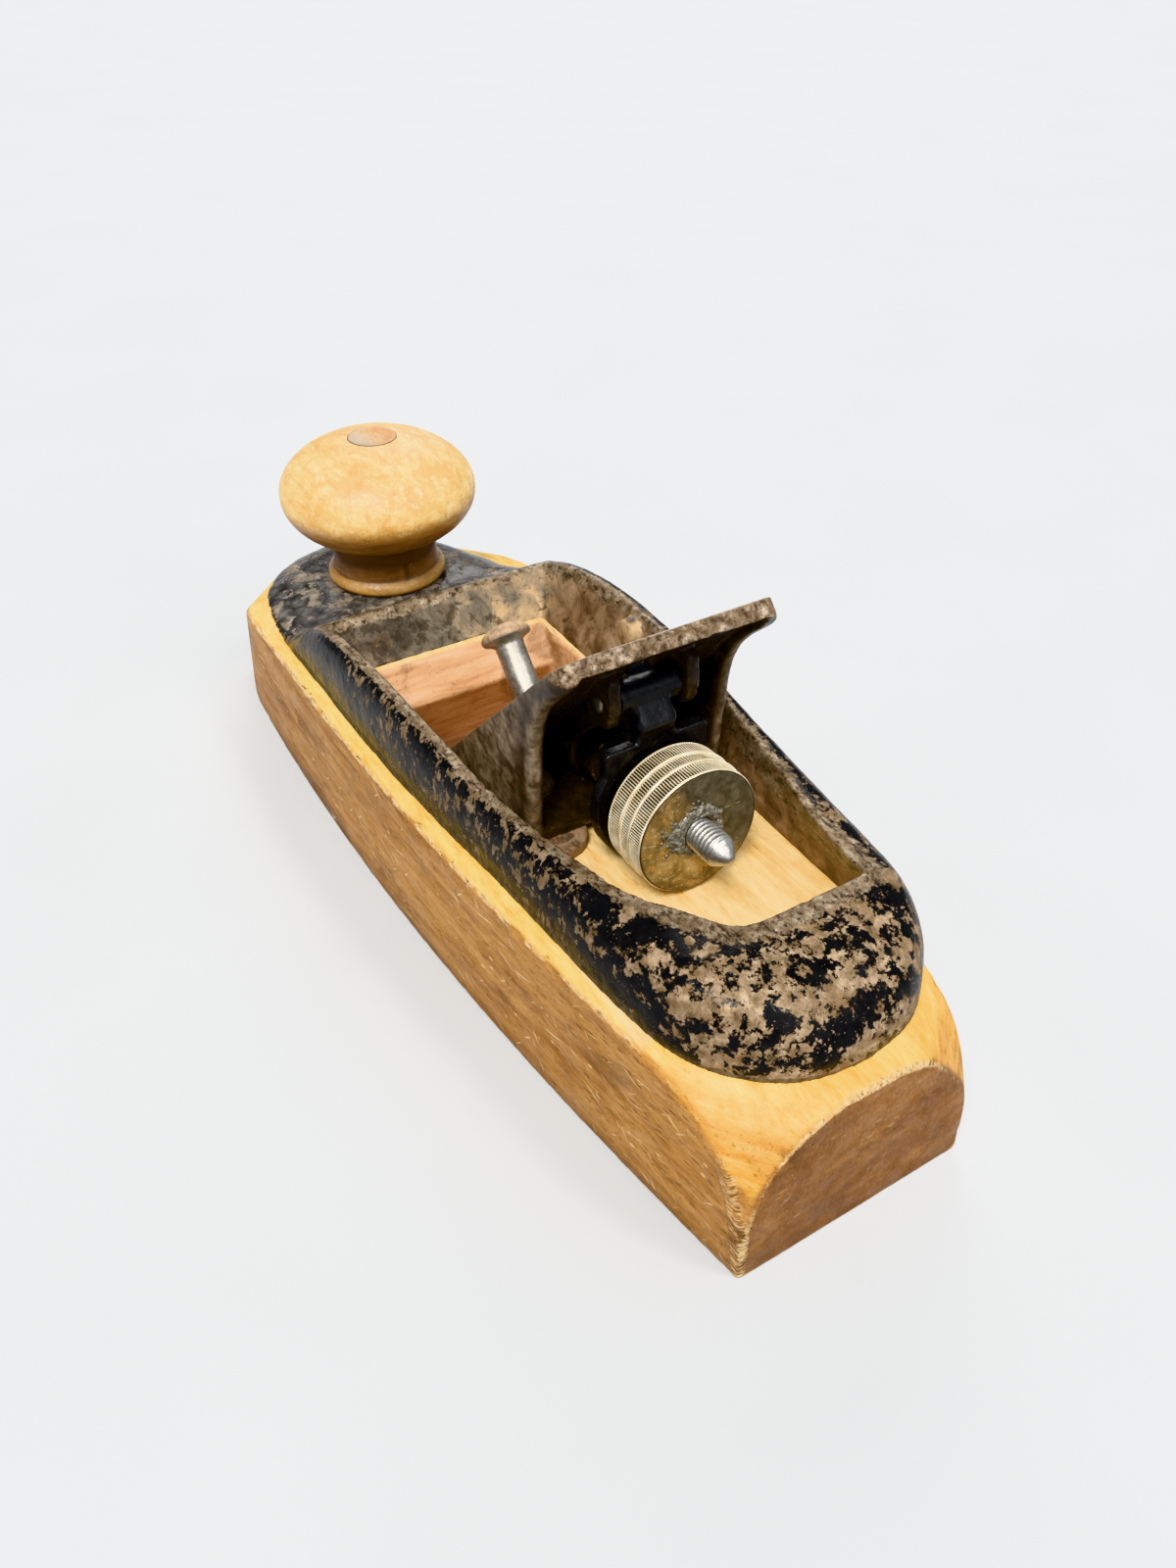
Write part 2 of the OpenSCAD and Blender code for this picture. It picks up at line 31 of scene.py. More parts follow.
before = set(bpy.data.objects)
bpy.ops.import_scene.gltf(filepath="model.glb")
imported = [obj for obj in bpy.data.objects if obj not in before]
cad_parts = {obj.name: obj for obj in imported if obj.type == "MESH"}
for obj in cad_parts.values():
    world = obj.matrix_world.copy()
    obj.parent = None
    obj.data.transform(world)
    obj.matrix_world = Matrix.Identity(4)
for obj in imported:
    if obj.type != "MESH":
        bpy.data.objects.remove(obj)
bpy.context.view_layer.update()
MM = 0.001


# ---------------------------------------------------------------- numbers

def curve(table):
    """Smooth curve through (place, value) pairs that never overshoots them."""
    t = np.array(sorted(table), float)
    x, y = t[:, 0], t[:, 1]
    h = np.diff(x)
    d = np.diff(y) / h
    m = np.zeros_like(y)
    m[0], m[-1] = d[0], d[-1]
    for i in range(1, len(x) - 1):
        if d[i - 1] * d[i] > 0:
            w1, w2 = 2 * h[i] + h[i - 1], h[i] + 2 * h[i - 1]
            m[i] = (w1 + w2) / (w1 / d[i - 1] + w2 / d[i])

    def f(q):
        q = np.clip(np.asarray(q, float), x[0], x[-1])
        i = np.clip(np.searchsorted(x, q, side="right") - 1, 0, len(h) - 1)
        s = (q - x[i]) / h[i]
        return ((2 * s**3 - 3 * s**2 + 1) * y[i]
                + (s**3 - 2 * s**2 + s) * h[i] * m[i]
                + (3 * s**2 - 2 * s**3) * y[i + 1]
                + (s**3 - s**2) * h[i] * m[i + 1])
    return f


def hashed(a, b, c, seed):
    n = (a * 374761393 + b * 668265263 + c * 1442695041 + seed * 97531) & 0xFFFFFFFF
    n = ((n ^ (n >> 13)) * 1274126177) & 0xFFFFFFFF
    n = ((n ^ (n >> 16)) * 2246822519) & 0xFFFFFFFF
    return ((n ^ (n >> 15)) & 0xFFFFF) / 1048575.0


def noise3(p, size, seed=0):
    """Smooth value noise from 0 to 1 at points p, with cells of that size."""
    q = np.asarray(p, float) / np.asarray(size, float)
    i = np.floor(q).astype(np.int64)
    f = q - i
    f = f * f * (3 - 2 * f)
    out = np.zeros(len(q))
    for dx in (0, 1):
        for dy in (0, 1):
            for dz in (0, 1):
                w = (np.where(dx, f[:, 0], 1 - f[:, 0])
                     * np.where(dy, f[:, 1], 1 - f[:, 1])
                     * np.where(dz, f[:, 2], 1 - f[:, 2]))
                out += w * hashed(i[:, 0] + dx, i[:, 1] + dy, i[:, 2] + dz, seed)
    return out


def fbm(p, size, octaves=4, seed=0):
    size = np.asarray(size, float) * np.ones(3)
    total, out, amp = 0.0, 0.0, 1.0
    for k in range(octaves):
        out = out + amp * noise3(p, size / 2**k, seed + 17 * k)
        total += amp
        amp *= 0.55
    return out / total


def step(a, b, v):
    t = np.clip((np.asarray(v, float) - a) / (b - a), 0, 1)
    return t * t * (3 - 2 * t)


# ----------------------------------------------------------------- meshes

def make(name, verts, faces):
    """Mesh object from points in millimetres."""
    me = bpy.data.meshes.new(name)
    me.from_pydata((np.asarray(verts, float) * MM).tolist(), [], faces)
    me.validate()
    ob = bpy.data.objects.new(name, me)
    bpy.context.scene.collection.objects.link(ob)
    return ob


def clean(ob):
    bm = bmesh.new()
    bm.from_mesh(ob.data)
    bmesh.ops.remove_doubles(bm, verts=bm.verts, dist=1e-6)
    bmesh.ops.recalc_face_normals(bm, faces=bm.faces)
    bm.to_mesh(ob.data)
    bm.free()
    return ob


def tidy(ob, dist=5e-6):
    """Joins points that a boolean left almost on top of each other."""
    bm = bmesh.new()
    bm.from_mesh(ob.data)
    bmesh.ops.remove_doubles(bm, verts=bm.verts, dist=dist)
    bmesh.ops.dissolve_degenerate(bm, dist=dist, edges=bm.edges)
    bm.to_mesh(ob.data)
    bm.free()
    return ob


def loft(name, rings):
    """Closed skin through rings that all have the same number of points."""
    n, m = len(rings), len(rings[0])
    verts = np.concatenate([np.asarray(r, float) for r in rings])
    faces = []
    for i in range(n - 1):
        a, b = i * m, (i + 1) * m
        for j in range(m):
            k = (j + 1) % m
            faces.append((a + j, a + k, b + k, b + j))
    faces.append(tuple(range(m - 1, -1, -1)))
    faces.append(tuple((n - 1) * m + j for j in range(m)))
    return clean(make(name, verts, faces))


def lathe(name, line, n=96, place=None, radius=None):
    """Turned shape about Z. line is (radius, height) pairs, first and last on
    the axis. radius(r, z, angle) may change each point's radius."""
    line = np.asarray(line, float)
    ring = line[1:-1]
    ang = np.arange(n) * 2 * math.pi / n
    r = np.repeat(ring[:, 0], n)
    z = np.repeat(ring[:, 1], n)
    a = np.tile(ang, len(ring))
    if radius is not None:
        r = radius(r, z, a)
    verts = np.stack([r * np.cos(a), r * np.sin(a), z], 1)
    verts = np.concatenate([verts, [[0, 0, line[0, 1]], [0, 0, line[-1, 1]]]])
    faces = []
    for i in range(len(ring) - 1):
        for j in range(n):
            k = (j + 1) % n
            faces.append((i * n + j, i * n + k, (i + 1) * n + k, (i + 1) * n + j))
    lo, hi = len(verts) - 2, len(verts) - 1
    top = (len(ring) - 1) * n
    for j in range(n):
        k = (j + 1) % n
        faces.append((lo, k, j))
        faces.append((hi, top + j, top + k))
    if place is not None:
        verts = moved(verts, place)
    return clean(make(name, verts, faces))


def tube(name, line, n=96, place=None, radius=None):
    """Turned ring about Z from a closed outline of (radius, height) pairs."""
    line = np.asarray(line, float)
    m = len(line)
    ang = np.arange(n) * 2 * math.pi / n
    r = np.repeat(line[:, 0], n)
    z = np.repeat(line[:, 1], n)
    a = np.tile(ang, m)
    if radius is not None:
        r = radius(r, z, a)
    verts = np.stack([r * np.cos(a), r * np.sin(a), z], 1)
    faces = []
    for i in range(m):
        i2 = (i + 1) % m
        for j in range(n):
            k = (j + 1) % n
            faces.append((i * n + j, i * n + k, i2 * n + k, i2 * n + j))
    if place is not None:
        verts = moved(verts, place)
    return clean(make(name, verts, faces))


def moved(verts, place):
    v = np.asarray(verts, float)
    m = np.array(place, float)
    return v @ m[:3, :3].T + m[:3, 3]


def prism(name, outline, a, b, axis="Y"):
    """Outline in X and Z between y = a and b, or in X and Y between z = a, b."""
    pts = np.asarray(outline, float)
    n = len(pts)
    lo, hi = np.full(n, float(a)), np.full(n, float(b))
    if axis == "Y":
        verts = np.concatenate([np.stack([pts[:, 0], lo, pts[:, 1]], 1),
                                np.stack([pts[:, 0], hi, pts[:, 1]], 1)])
    else:
        verts = np.concatenate([np.stack([pts[:, 0], pts[:, 1], lo], 1),
                                np.stack([pts[:, 0], pts[:, 1], hi], 1)])
    faces = [(j, (j + 1) % n, n + (j + 1) % n, n + j) for j in range(n)]
    faces += [tuple(range(n - 1, -1, -1)), tuple(range(n, 2 * n))]
    return clean(make(name, verts, faces))


def cyl(r, a, b, place=None, n=48, r2=None):
    ob = lathe("tool", [[0, a], [r, a], [r if r2 is None else r2, b], [0, b]], n, place)
    return ob


def block(lo, hi, place=None):
    x, y, z = zip(lo, hi)
    v = np.array([[x[i], y[j], z[k]] for i in (0, 1) for j in (0, 1) for k in (0, 1)], float)
    if place is not None:
        v = moved(v, place)
    return clean(make("tool", v, [(0, 1, 3, 2), (4, 6, 7, 5), (0, 4, 5, 1),
                                  (2, 3, 7, 6), (0, 2, 6, 4), (1, 5, 7, 3)]))


def rounded(outline, r, n=5, closed=True):
    """The outline with its corners rounded to radius r (a number or a list)."""
    p = np.asarray(outline, float)
    out = []
    m = len(p)
    for i in range(m):
        a, b, c = p[i - 1], p[i], p[(i + 1) % m]
        ri = r[i] if hasattr(r, "__len__") else r
        u, v = a - b, c - b
        lu, lv = np.linalg.norm(u), np.linalg.norm(v)
        u, v = u / lu, v / lv
        ang = math.acos(max(-1, min(1, float(u @ v))))
        if ri <= 0 or ang > 3.1:
            out.append(b)
            continue
        d = min(ri / math.tan(ang / 2), lu * 0.48, lv * 0.48)
        s, e = b + u * d, b + v * d
        for k in range(n + 1):
            t = k / n
            out.append((1 - t)**2 * s + 2 * t * (1 - t) * b + t * t * e)
    return np.array(out)


def apply(ob):
    dg = bpy.context.evaluated_depsgraph_get()
    me = bpy.data.meshes.new_from_object(ob.evaluated_get(dg))
    old = ob.data
    ob.modifiers.clear()
    ob.data = me
    bpy.data.meshes.remove(old)
    return ob


def boolean(ob, tool, how="DIFFERENCE"):
    m = ob.modifiers.new("cut", "BOOLEAN")
    m.operation, m.solver, m.object = how, "EXACT", tool
    bpy.context.view_layer.update()
    apply(ob)
    drop(tool)
    return ob


def drop(ob):
    me = ob.data
    bpy.data.objects.remove(ob)
    bpy.data.meshes.remove(me)


def join(ob, *others):
    bm = bmesh.new()
    bm.from_mesh(ob.data)
    for o in others:
        bm.from_mesh(o.data)
    bm.to_mesh(ob.data)
    bm.free()
    for o in others:
        drop(o)
    return ob


def remesh(ob, size):
    m = ob.modifiers.new("skin", "REMESH")
    m.mode, m.voxel_size, m.adaptivity = "VOXEL", size * MM, 0.0
    bpy.context.view_layer.update()
    apply(ob)
    return keep_largest(ob)


def points(ob):
    co = np.zeros(len(ob.data.vertices) * 3)
    ob.data.vertices.foreach_get("co", co)
    return co.reshape(-1, 3) / MM


def put(ob, co):
    ob.data.vertices.foreach_set("co", (np.asarray(co, float) * MM).ravel())
    ob.data.update()


def normals(ob):
    nn = np.zeros(len(ob.data.vertices) * 3)
    ob.data.vertices.foreach_get("normal", nn)
    return nn.reshape(-1, 3)


def links(ob):
    e = np.zeros(len(ob.data.edges) * 2, np.int64)
    ob.data.edges.foreach_get("vertices", e)
    return e.reshape(-1, 2)


def averaged(v, e, times, share=0.5):
    """v smoothed over the mesh's edges; v may be points or one value each."""
    v = np.array(v, float)
    n = len(v)
    count = np.bincount(e.ravel(), minlength=n).astype(float)
    count[count == 0] = 1
    cols = v.reshape(n, -1)
    for _ in range(times):
        s = np.stack([np.bincount(e[:, 0], c[e[:, 1]], n) + np.bincount(e[:, 1], c[e[:, 0]], n)
                      for c in cols.T], 1)
        cols = cols + share * (s / count[:, None] - cols)
    return cols.reshape(v.shape)


def relax(ob, times=4, share=0.5, keep=0.0):
    """Smooths the surface; keep pushes back, so that edges lose less."""
    co, e = points(ob), links(ob)
    for _ in range(times):
        co = averaged(co, e, 1, share)
        if keep:
            co = averaged(co, e, 1, -keep)
    put(ob, co)
    return ob


def keep_largest(ob, tiny=0.02):
    """Drops specks that a remesh leaves behind."""
    e = links(ob)
    n = len(ob.data.vertices)
    lab = np.arange(n)
    while True:
        new = lab.copy()
        np.minimum.at(new, e[:, 0], lab[e[:, 1]])
        np.minimum.at(new, e[:, 1], lab[e[:, 0]])
        new = new[new]
        if (new == lab).all():
            break
        lab = new
    ids, count = np.unique(lab, return_counts=True)
    if len(ids) > 1:
        bad = set(ids[count < tiny * n].tolist())
        if bad:
            bm = bmesh.new()
            bm.from_mesh(ob.data)
            bm.verts.ensure_lookup_table()
            bmesh.ops.delete(bm, geom=[v for v in bm.verts if lab[v.index] in bad], context="VERTS")
            bm.to_mesh(ob.data)
            bm.free()
    return ob


def attribute(ob, name, values):
    a = ob.data.attributes.get(name) or ob.data.attributes.new(name, "FLOAT", "POINT")
    a.data.foreach_set("value", np.asarray(values, np.float32))


def edges_of(ob, times=10, gain=1.0):
    """Per vertex: above 0 on proud edges, below 0 in hollows, in millimetres."""
    co, e, nn = points(ob), links(ob), normals(ob)
    d = ((co - averaged(co, e, times)) * nn).sum(1)
    return averaged(d, e, 2) * gain


def smooth(ob, angle=None):
    me = ob.data
    me.polygons.foreach_set("use_smooth", np.ones(len(me.polygons), bool))
    if angle is not None:
        bm = bmesh.new()
        bm.from_mesh(me)
        lim = math.radians(angle)
        for ed in bm.edges:
            if len(ed.link_faces) == 2 and ed.calc_face_angle(0) > lim:
                ed.smooth = False
        bm.to_mesh(me)
        bm.free()
    me.update()
    return ob


# ------------------------------------------------------------ placement

def frame_on_bed(u, v=0.0):
    """Local frame on the bed plane X + Z = 37.1: Z out of the bed, X up it."""
    q = math.sqrt(0.5)
    return np.array([[-q, 0, q, 18.55 - u * q], [0, -1, 0, v],
                     [q, 0, q, 18.55 + u * q], [0, 0, 0, 1]], float)


TILT = math.radians(3)


def frame_on_stud(s=0.0):
    """Local frame on the stud: Z runs forward along it from the wheel's face."""
    c, k = math.cos(math.pi / 2 + TILT), math.sin(math.pi / 2 + TILT)
    return np.array([[c, 0, k, -62.3 + s * k], [0, 1, 0, 0],
                     [-k, 0, c, 50.95 + s * c], [0, 0, 0, 1]], float)


def at(x, y, z):
    m = np.eye(4)
    m[:3, 3] = (x, y, z)
    return m


def across(x, y, z):
    """Local Z along -Y, from that point."""
    return np.array([[1, 0, 0, x], [0, 0, -1, y], [0, 1, 0, z], [0, 0, 0, 1]], float)


# ------------------------------------------------------------- materials

class Paint:
    """Small helper that builds a node material."""

    def __init__(self, name):
        self.mat = bpy.data.materials.new(name)
        self.mat.use_nodes = True
        self.tree = self.mat.node_tree
        self.tree.nodes.clear()
        tc = self.node("TexCoord")
        self.p = self.vec("SCALE", tc.outputs["Object"], scale=1000.0)

    def node(self, kind, **props):
        n = self.tree.nodes.new("ShaderNode" + kind)
        for k, v in props.items():
            setattr(n, k, v)
        return n

    def set(self, sock, value):
        if isinstance(value, bpy.types.NodeSocket):
            self.tree.links.new(value, sock)
        elif value is not None:
            if hasattr(sock.default_value, "__len__") and not hasattr(value, "__len__"):
                value = (value,) * len(sock.default_value)
            if hasattr(value, "__len__") and len(value) == 3 and len(sock.default_value) == 4:
                value = (*value, 1.0)
            sock.default_value = value

    def vec(self, op, a, b=None, scale=None):
        n = self.node("VectorMath", operation=op)
        self.set(n.inputs[0], a)
        if b is not None:
            self.set(n.inputs[1], b)
        if scale is not None:
            n.inputs["Scale"].default_value = scale
        return n.outputs[0]

    def math(self, op, a, b=0.0, clamp=False):
        n = self.node("Math", operation=op, use_clamp=clamp)
        self.set(n.inputs[0], a)
        self.set(n.inputs[1], b)
        return n.outputs[0]

    def mul(self, a, b):
        return self.math("MULTIPLY", a, b)

    def add(self, a, b):
        return self.math("ADD", a, b)

    def sub(self, a, b):
        return self.math("SUBTRACT", a, b)

    def inv(self, a):
        return self.math("SUBTRACT", 1.0, a)

    def most(self, a, b):
        return self.math("MAXIMUM", a, b)

    def least(self, a, b):
        return self.math("MINIMUM", a, b)

    def step(self, v, a, b, lo=0.0, hi=1.0, kind="SMOOTHSTEP"):
        n = self.node("MapRange", interpolation_type=kind, clamp=True)
        self.set(n.inputs[0], v)
        for i, x in enumerate((a, b, lo, hi)):
            self.set(n.inputs[1 + i], x)
        return n.outputs[0]

    def noise(self, size, detail=3.0, rough=0.5, warp=0.0, off=0.0, p=None, out="Fac"):
        """Noise with features of that size in mm; size may be (x, y, z)."""
        s = size if hasattr(size, "__len__") else (size,) * 3
        v = self.vec("MULTIPLY", p or self.p, tuple(1.0 / x for x in s))
        if off:
            v = self.vec("ADD", v, (off, off * 1.7, off * 0.6))
        n = self.node("TexNoise")
        self.set(n.inputs["Vector"], v)
        n.inputs["Scale"].default_value = 1.0
        n.inputs["Detail"].default_value = detail
        n.inputs["Roughness"].default_value = rough
        n.inputs["Distortion"].default_value = warp
        return n.outputs[out]

    def cells(self, size, feature="F1", rand=1.0, off=0.0, p=None, out="Distance", smooth=None):
        s = size if hasattr(size, "__len__") else (size,) * 3
        v = self.vec("MULTIPLY", p or self.p, tuple(1.0 / x for x in s))
        if off:
            v = self.vec("ADD", v, (off, off * 1.7, off * 0.6))
        n = self.node("TexVoronoi", feature=feature)
        self.set(n.inputs["Vector"], v)
        n.inputs["Scale"].default_value = 1.0
        n.inputs["Randomness"].default_value = rand
        return n.outputs[out]

    def attr(self, name):
        return self.node("Attribute", attribute_name=name).outputs["Fac"]

    def mix(self, f, a, b, how="MIX"):
        n = self.node("Mix", data_type="RGBA", blend_type=how, clamp_factor=True)
        self.set(n.inputs[0], f)
        self.set(n.inputs[6], a)
        self.set(n.inputs[7], b)
        return n.outputs[2]

    def ramp(self, f, *stops):
        """Colours by value: stops are (place, colour)."""
        n = self.node("ValToRGB")
        self.set(n.inputs[0], f)
        el = n.color_ramp.elements
        while len(el) < len(stops):
            el.new(0.5)
        for e, (pos, col) in zip(el, stops):
            e.position = pos
            e.color = (*col, 1.0) if len(col) == 3 else col
        return n.outputs[0]

    def xyz(self, v=None):
        n = self.node("SeparateXYZ")
        self.set(n.inputs[0], v or self.p)
        return n.outputs

    def bump(self, height, distance, normal=None, strength=1.0):
        """Bump from a height in mm; distance scales it to metres."""
        n = self.node("Bump")
        n.inputs["Strength"].default_value = strength
        n.inputs["Distance"].default_value = distance * MM
        self.set(n.inputs["Height"], height)
        if normal is not None:
            self.set(n.inputs["Normal"], normal)
        return n.outputs[0]

    def finish(self, color, rough, metal=0.0, normal=None, spec=0.5, coat=None,
               coat_rough=0.1, ior=1.5, coat_normal=None):
        b = self.node("BsdfPrincipled")
        self.set(b.inputs["Base Color"], color)
        self.set(b.inputs["Roughness"], rough)
        self.set(b.inputs["Metallic"], metal)
        b.inputs["Specular IOR Level"].default_value = spec
        b.inputs["IOR"].default_value = ior
        if normal is not None:
            self.set(b.inputs["Normal"], normal)
        if coat is not None:
            self.set(b.inputs["Coat Weight"], coat)
            b.inputs["Coat Roughness"].default_value = coat_rough
            if coat_normal is not None:
                self.set(b.inputs["Coat Normal"], coat_normal)
        out = self.node("OutputMaterial")
        self.tree.links.new(b.outputs[0], out.inputs[0])
        return self.mat


def dress(ob, mat):
    """Gives the object one material."""
    if ob.data.materials:
        for i in range(len(ob.data.materials)):
            ob.material_slots[i].link = "OBJECT"
            ob.material_slots[i].material = mat
    else:
        ob.data.materials.append(mat)
    return ob


PIECES = []


def piece(ob, name, body, node, mat):
    """Names a finished piece, makes it stand for its CAD node and ride."""
    ob.name = name
    ob.data.name = name
    dress(ob, mat)
    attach(ob, body)
    for n in ([node] if isinstance(node, str) else (node or [])):
        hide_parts(n)
    PIECES.append(ob)
    return ob


# ------------------------------------------------------- shape of the part

HL = 114.3
SEAT = 37.0
FROG_Z = 39.6
OPEN = 23.4

mid_drop = curve([(30, 0), (48, 0), (60, .4), (75, .8), (90, 1.4), (98, 2), (103.5, 2.8),
                  (107, 3.7), (109.5, 4.6), (114.3, 6.6)])
left_drop = curve([(-40, 0), (30, 0), (48, .6), (60, 1.3), (75, 2.2), (85, 3), (95, 3.8),
                   (107, 4.5), (109.5, 4.8), (114.3, 7)])
right_drop = curve([(-40, 0), (30, 0), (48, .9), (60, 2), (75, 3.4), (85, 4.2), (95, 4.7),
                    (107, 4.9), (109.5, 4.9), (114.3, 7)])


def seat_at(x):
    return SEAT - mid_drop(x)


def seat_l(x):
    return SEAT - left_drop(x)


def seat_r(x):
    return SEAT - right_drop(x)


def half_at(x):
    return 38.95 - 0.00057 * (x - 40.2)**2 - np.where(x > 90, 0.0085 * (x - 90)**2, 0)


rise_l = curve([(0, 0), (2, 14.5), (3.8, 20), (5.4, 25), (7.8, 29), (11.3, 31.7),
                (14.4, 33.2), (19.6, 34.8), (27, 35.8), (36, 36)])
rise_r = curve([(0, 0), (1.6, 10), (3.1, 17), (4.7, 21), (6.7, 24.3), (9, 26.9),
                (11.2, 28.5), (14, 29.8), (19, 31), (30, 33.2), (45, 35.4), (55, 36)])
rise_tl = curve([(0, 0), (4, 12), (8, 19), (13, 24.5), (19, 28.5), (27, 31.6),
                 (34, 33.4), (40, 34.4), (50, 35.2), (62, 36)])
rise_tr = curve([(0, 0), (4, 10), (8, 16.5), (13, 21.5), (19, 25.5), (27, 28.8),
                 (36, 31.2), (46, 33.2), (58, 34.8), (74, 36)])
end_l = curve([(0, 25.3), (12, 25), (19, 24), (24, 22.7), (28, 20.7), (31, 18.2),
               (34, 14.4), (36, 9.8), (37, 5)])
end_r = curve([(0, 25.3), (12, 24.2), (19, 22.4), (24, 19.7), (28, 16.8), (31, 14.4),
               (34, 11.4), (36, 8), (37, 3.5)])
end_t = curve([(0, 31.5), (8, 30.9), (14, 28.6), (18, 25.8), (22, 21), (25, 16),
               (27, 11), (28.4, 4)])
toe_in = curve([(0, 0), (78, 0), (88, .7), (95, 1.6), (102, 2.6), (108, 2.8), (114.3, .4)])

base_heel = [(-109.6, 1.5), (-109.2, 5), (-108.4, 9), (-106.7, 13.2), (-104.6, 16.4),
             (-102, 19.3), (-98.5, 22.3), (-95.4, 24.2), (-92, 25.6), (-86.5, 27),
             (-72, 28.8), (-60, 29.6), (-40, 31.3), (-20, 33.2), (0, 34.7), (30, 35.5)]
base_tab = curve(base_heel + [(56, 35.4), (68, 34.7), (78, 33.4), (84, 32.2), (92, 29.8),
                              (98, 26.2), (103.5, 21.2), (106.6, 16), (108.4, 10.5),
                              (109.2, 6), (109.5, 1.5)])
base_right = curve(base_heel + [(47, 35.45), (56, 34.6), (68, 31.8), (78, 28.8), (84, 26.9),
                                (92, 23.8), (98, 20.2), (103.5, 15.6), (106.6, 11.2),
                                (108.4, 7.2), (109.2, 4), (109.5, 1.2)])
rim_tab = curve([(-86.5, 51.8), (-60, 51.7), (-40, 52), (-20, 53.4), (-10, 54.1),
                 (0, 54.4), (10, 54.3), (20, 53.5), (30, 52), (40, 49.6), (47, 46.8),
                 (50, 45.6), (53, 43), (56, 41), (59, 39.5), (63, 38.9), (68, 38.5)])
in_r = curve([(-86.5, 17.6), (-70, 19.8), (-60, 22.5), (-50, 24.7), (-40, 26.4),
              (-30, 27.8), (-20, 28.6), (-10, 29.4), (0, 29.9), (20, 30.3), (60, 29.6)])
in_l = curve([(-86.5, 2), (-85.6, 7.5), (-81, 11.9), (-76.4, 15), (-72, 18.2),
              (-68, 20.4), (-60, 22.5), (-50, 24.7), (-40, 26.4), (-30, 27.8),
              (-20, 28.6), (-10, 29.4), (0, 29.9), (20, 30.3), (60, 29.6)])
flat_toe = curve([(48, 30), (56, 29.5), (64, 22), (72, 15), (92, 10), (103.5, 5),
                  (109.5, .6)])


def hood_t(x):
    return (-86.5 - x) / 23.1


def rim_at(x):
    if x < -86.5:
        t = min(hood_t(x), 1)
        return 37.4 + 14.4 * (1 - t**2.3)**(1 / 2.3)
    if x < 68:
        return float(rim_tab(x))
    return float(seat_at(x)) + 2.4 - ((x - 68) / 41.5)**2 - 0.28 * math.exp((68 - x) / 5)


def flat_at(x):
    if x < -86.5:
        return max(17.6 * (1 - min(hood_t(x), 1))**0.6, 0.5)
    if x < 48:
        return float(in_r(x))
    return float(flat_toe(x))


def pow_at(x):
    if x < -86.5:
        return 3.4 - 1.1 * hood_t(x)
    if x < -50:
        return 3.4 + 0.2 * (x + 86.5) / 36.5
    return 3.6 if x < 50 else 3.6 - 1.2 * float(step(50, 62, x))


def seat_line(x, drop=0.0):
    r, l = float(base_right(x)), float(base_tab(x))
    sr, sl = float(seat_r(x)), float(seat_l(x))
    m = sr - 0.03 if abs(x) > 109 else float(seat_at(x))
    pts = [(x, -r, sr), (x, -r / 2, m - .25 * (m - sr)), (x, 0, m),
           (x, l / 2, m - .25 * (m - sl)), (x, l, sl)]
    return np.array(pts) - [0, 0, drop]


def side_of_rim(x, b, z0, s, n):
    c = min(flat_at(x), b - .4)
    h = rim_at(x) - z0
    p = pow_at(x)
    k = min((x - 63) / 8, 1) * .45 if x > 63 else 0
    u = np.linspace(0, 1, n)
    a = (3 * u**2 - 2 * u**3) * math.pi / 2
    ca, sa = np.maximum(np.cos(a), 0), np.maximum(np.sin(a), 0)
    t = k * (1 - sa**2)
    return np.stack([np.full(n, x), s * (c + (b - c) * ca**(2 / p)),
                     z0 + h * sa**(2 / p) * (1 - t)], 1)


def rim_ring(x, n=22):
    q = seat_line(x, 0.25 * float(step(-109, -100, x) * step(109, 100, x)))
    rs = side_of_rim(x, -q[0][1], q[0][2], -1, n)
    ls = side_of_rim(x, q[4][1], q[4][2], 1, n)[::-1]
    mid = np.linspace(rs[-1], ls[0], 7)[1:-1]
    mid[:, 2] += 0.03
    return np.concatenate([rs, mid, ls, q[3:0:-1]])


# ------------------------------------------------------------ wooden body

def away_from(co, line):
    """Distance in millimetres from each point to the points of a line."""
    out = np.full(len(co), 1e9)
    for q in np.asarray(line, float):
        out = np.minimum(out, ((co[:, :len(q)] - q)**2).sum(1))
    return np.sqrt(out)


def heel_arris(side):
    x = np.concatenate([-HL + 12 * np.linspace(0, 1, 90)**2, np.arange(-102, -84, .8)])
    rise = rise_l(x + HL) if side > 0 else rise_r(x + HL)
    return np.stack([x, side * half_at(x), rise], 1)


def hacked_at(co):
    """Where the heel's corners are bruised, and how far that is from the arris."""
    k = co[:, 0] < -80
    left, right = np.full(len(co), 99.0), np.full(len(co), 99.0)
    left[k] = away_from(co[k], heel_arris(1))
    right[k] = away_from(co[k], heel_arris(-1))
    z = co[:, 2]
    a = step(3.0, .4, left) * (.2 + .8 * step(32, 22, z))
    b = step(1.6, .3, right) * step(24, 12, z) * .5
    return np.maximum(a, b), np.minimum(np.minimum(left, right), 9)


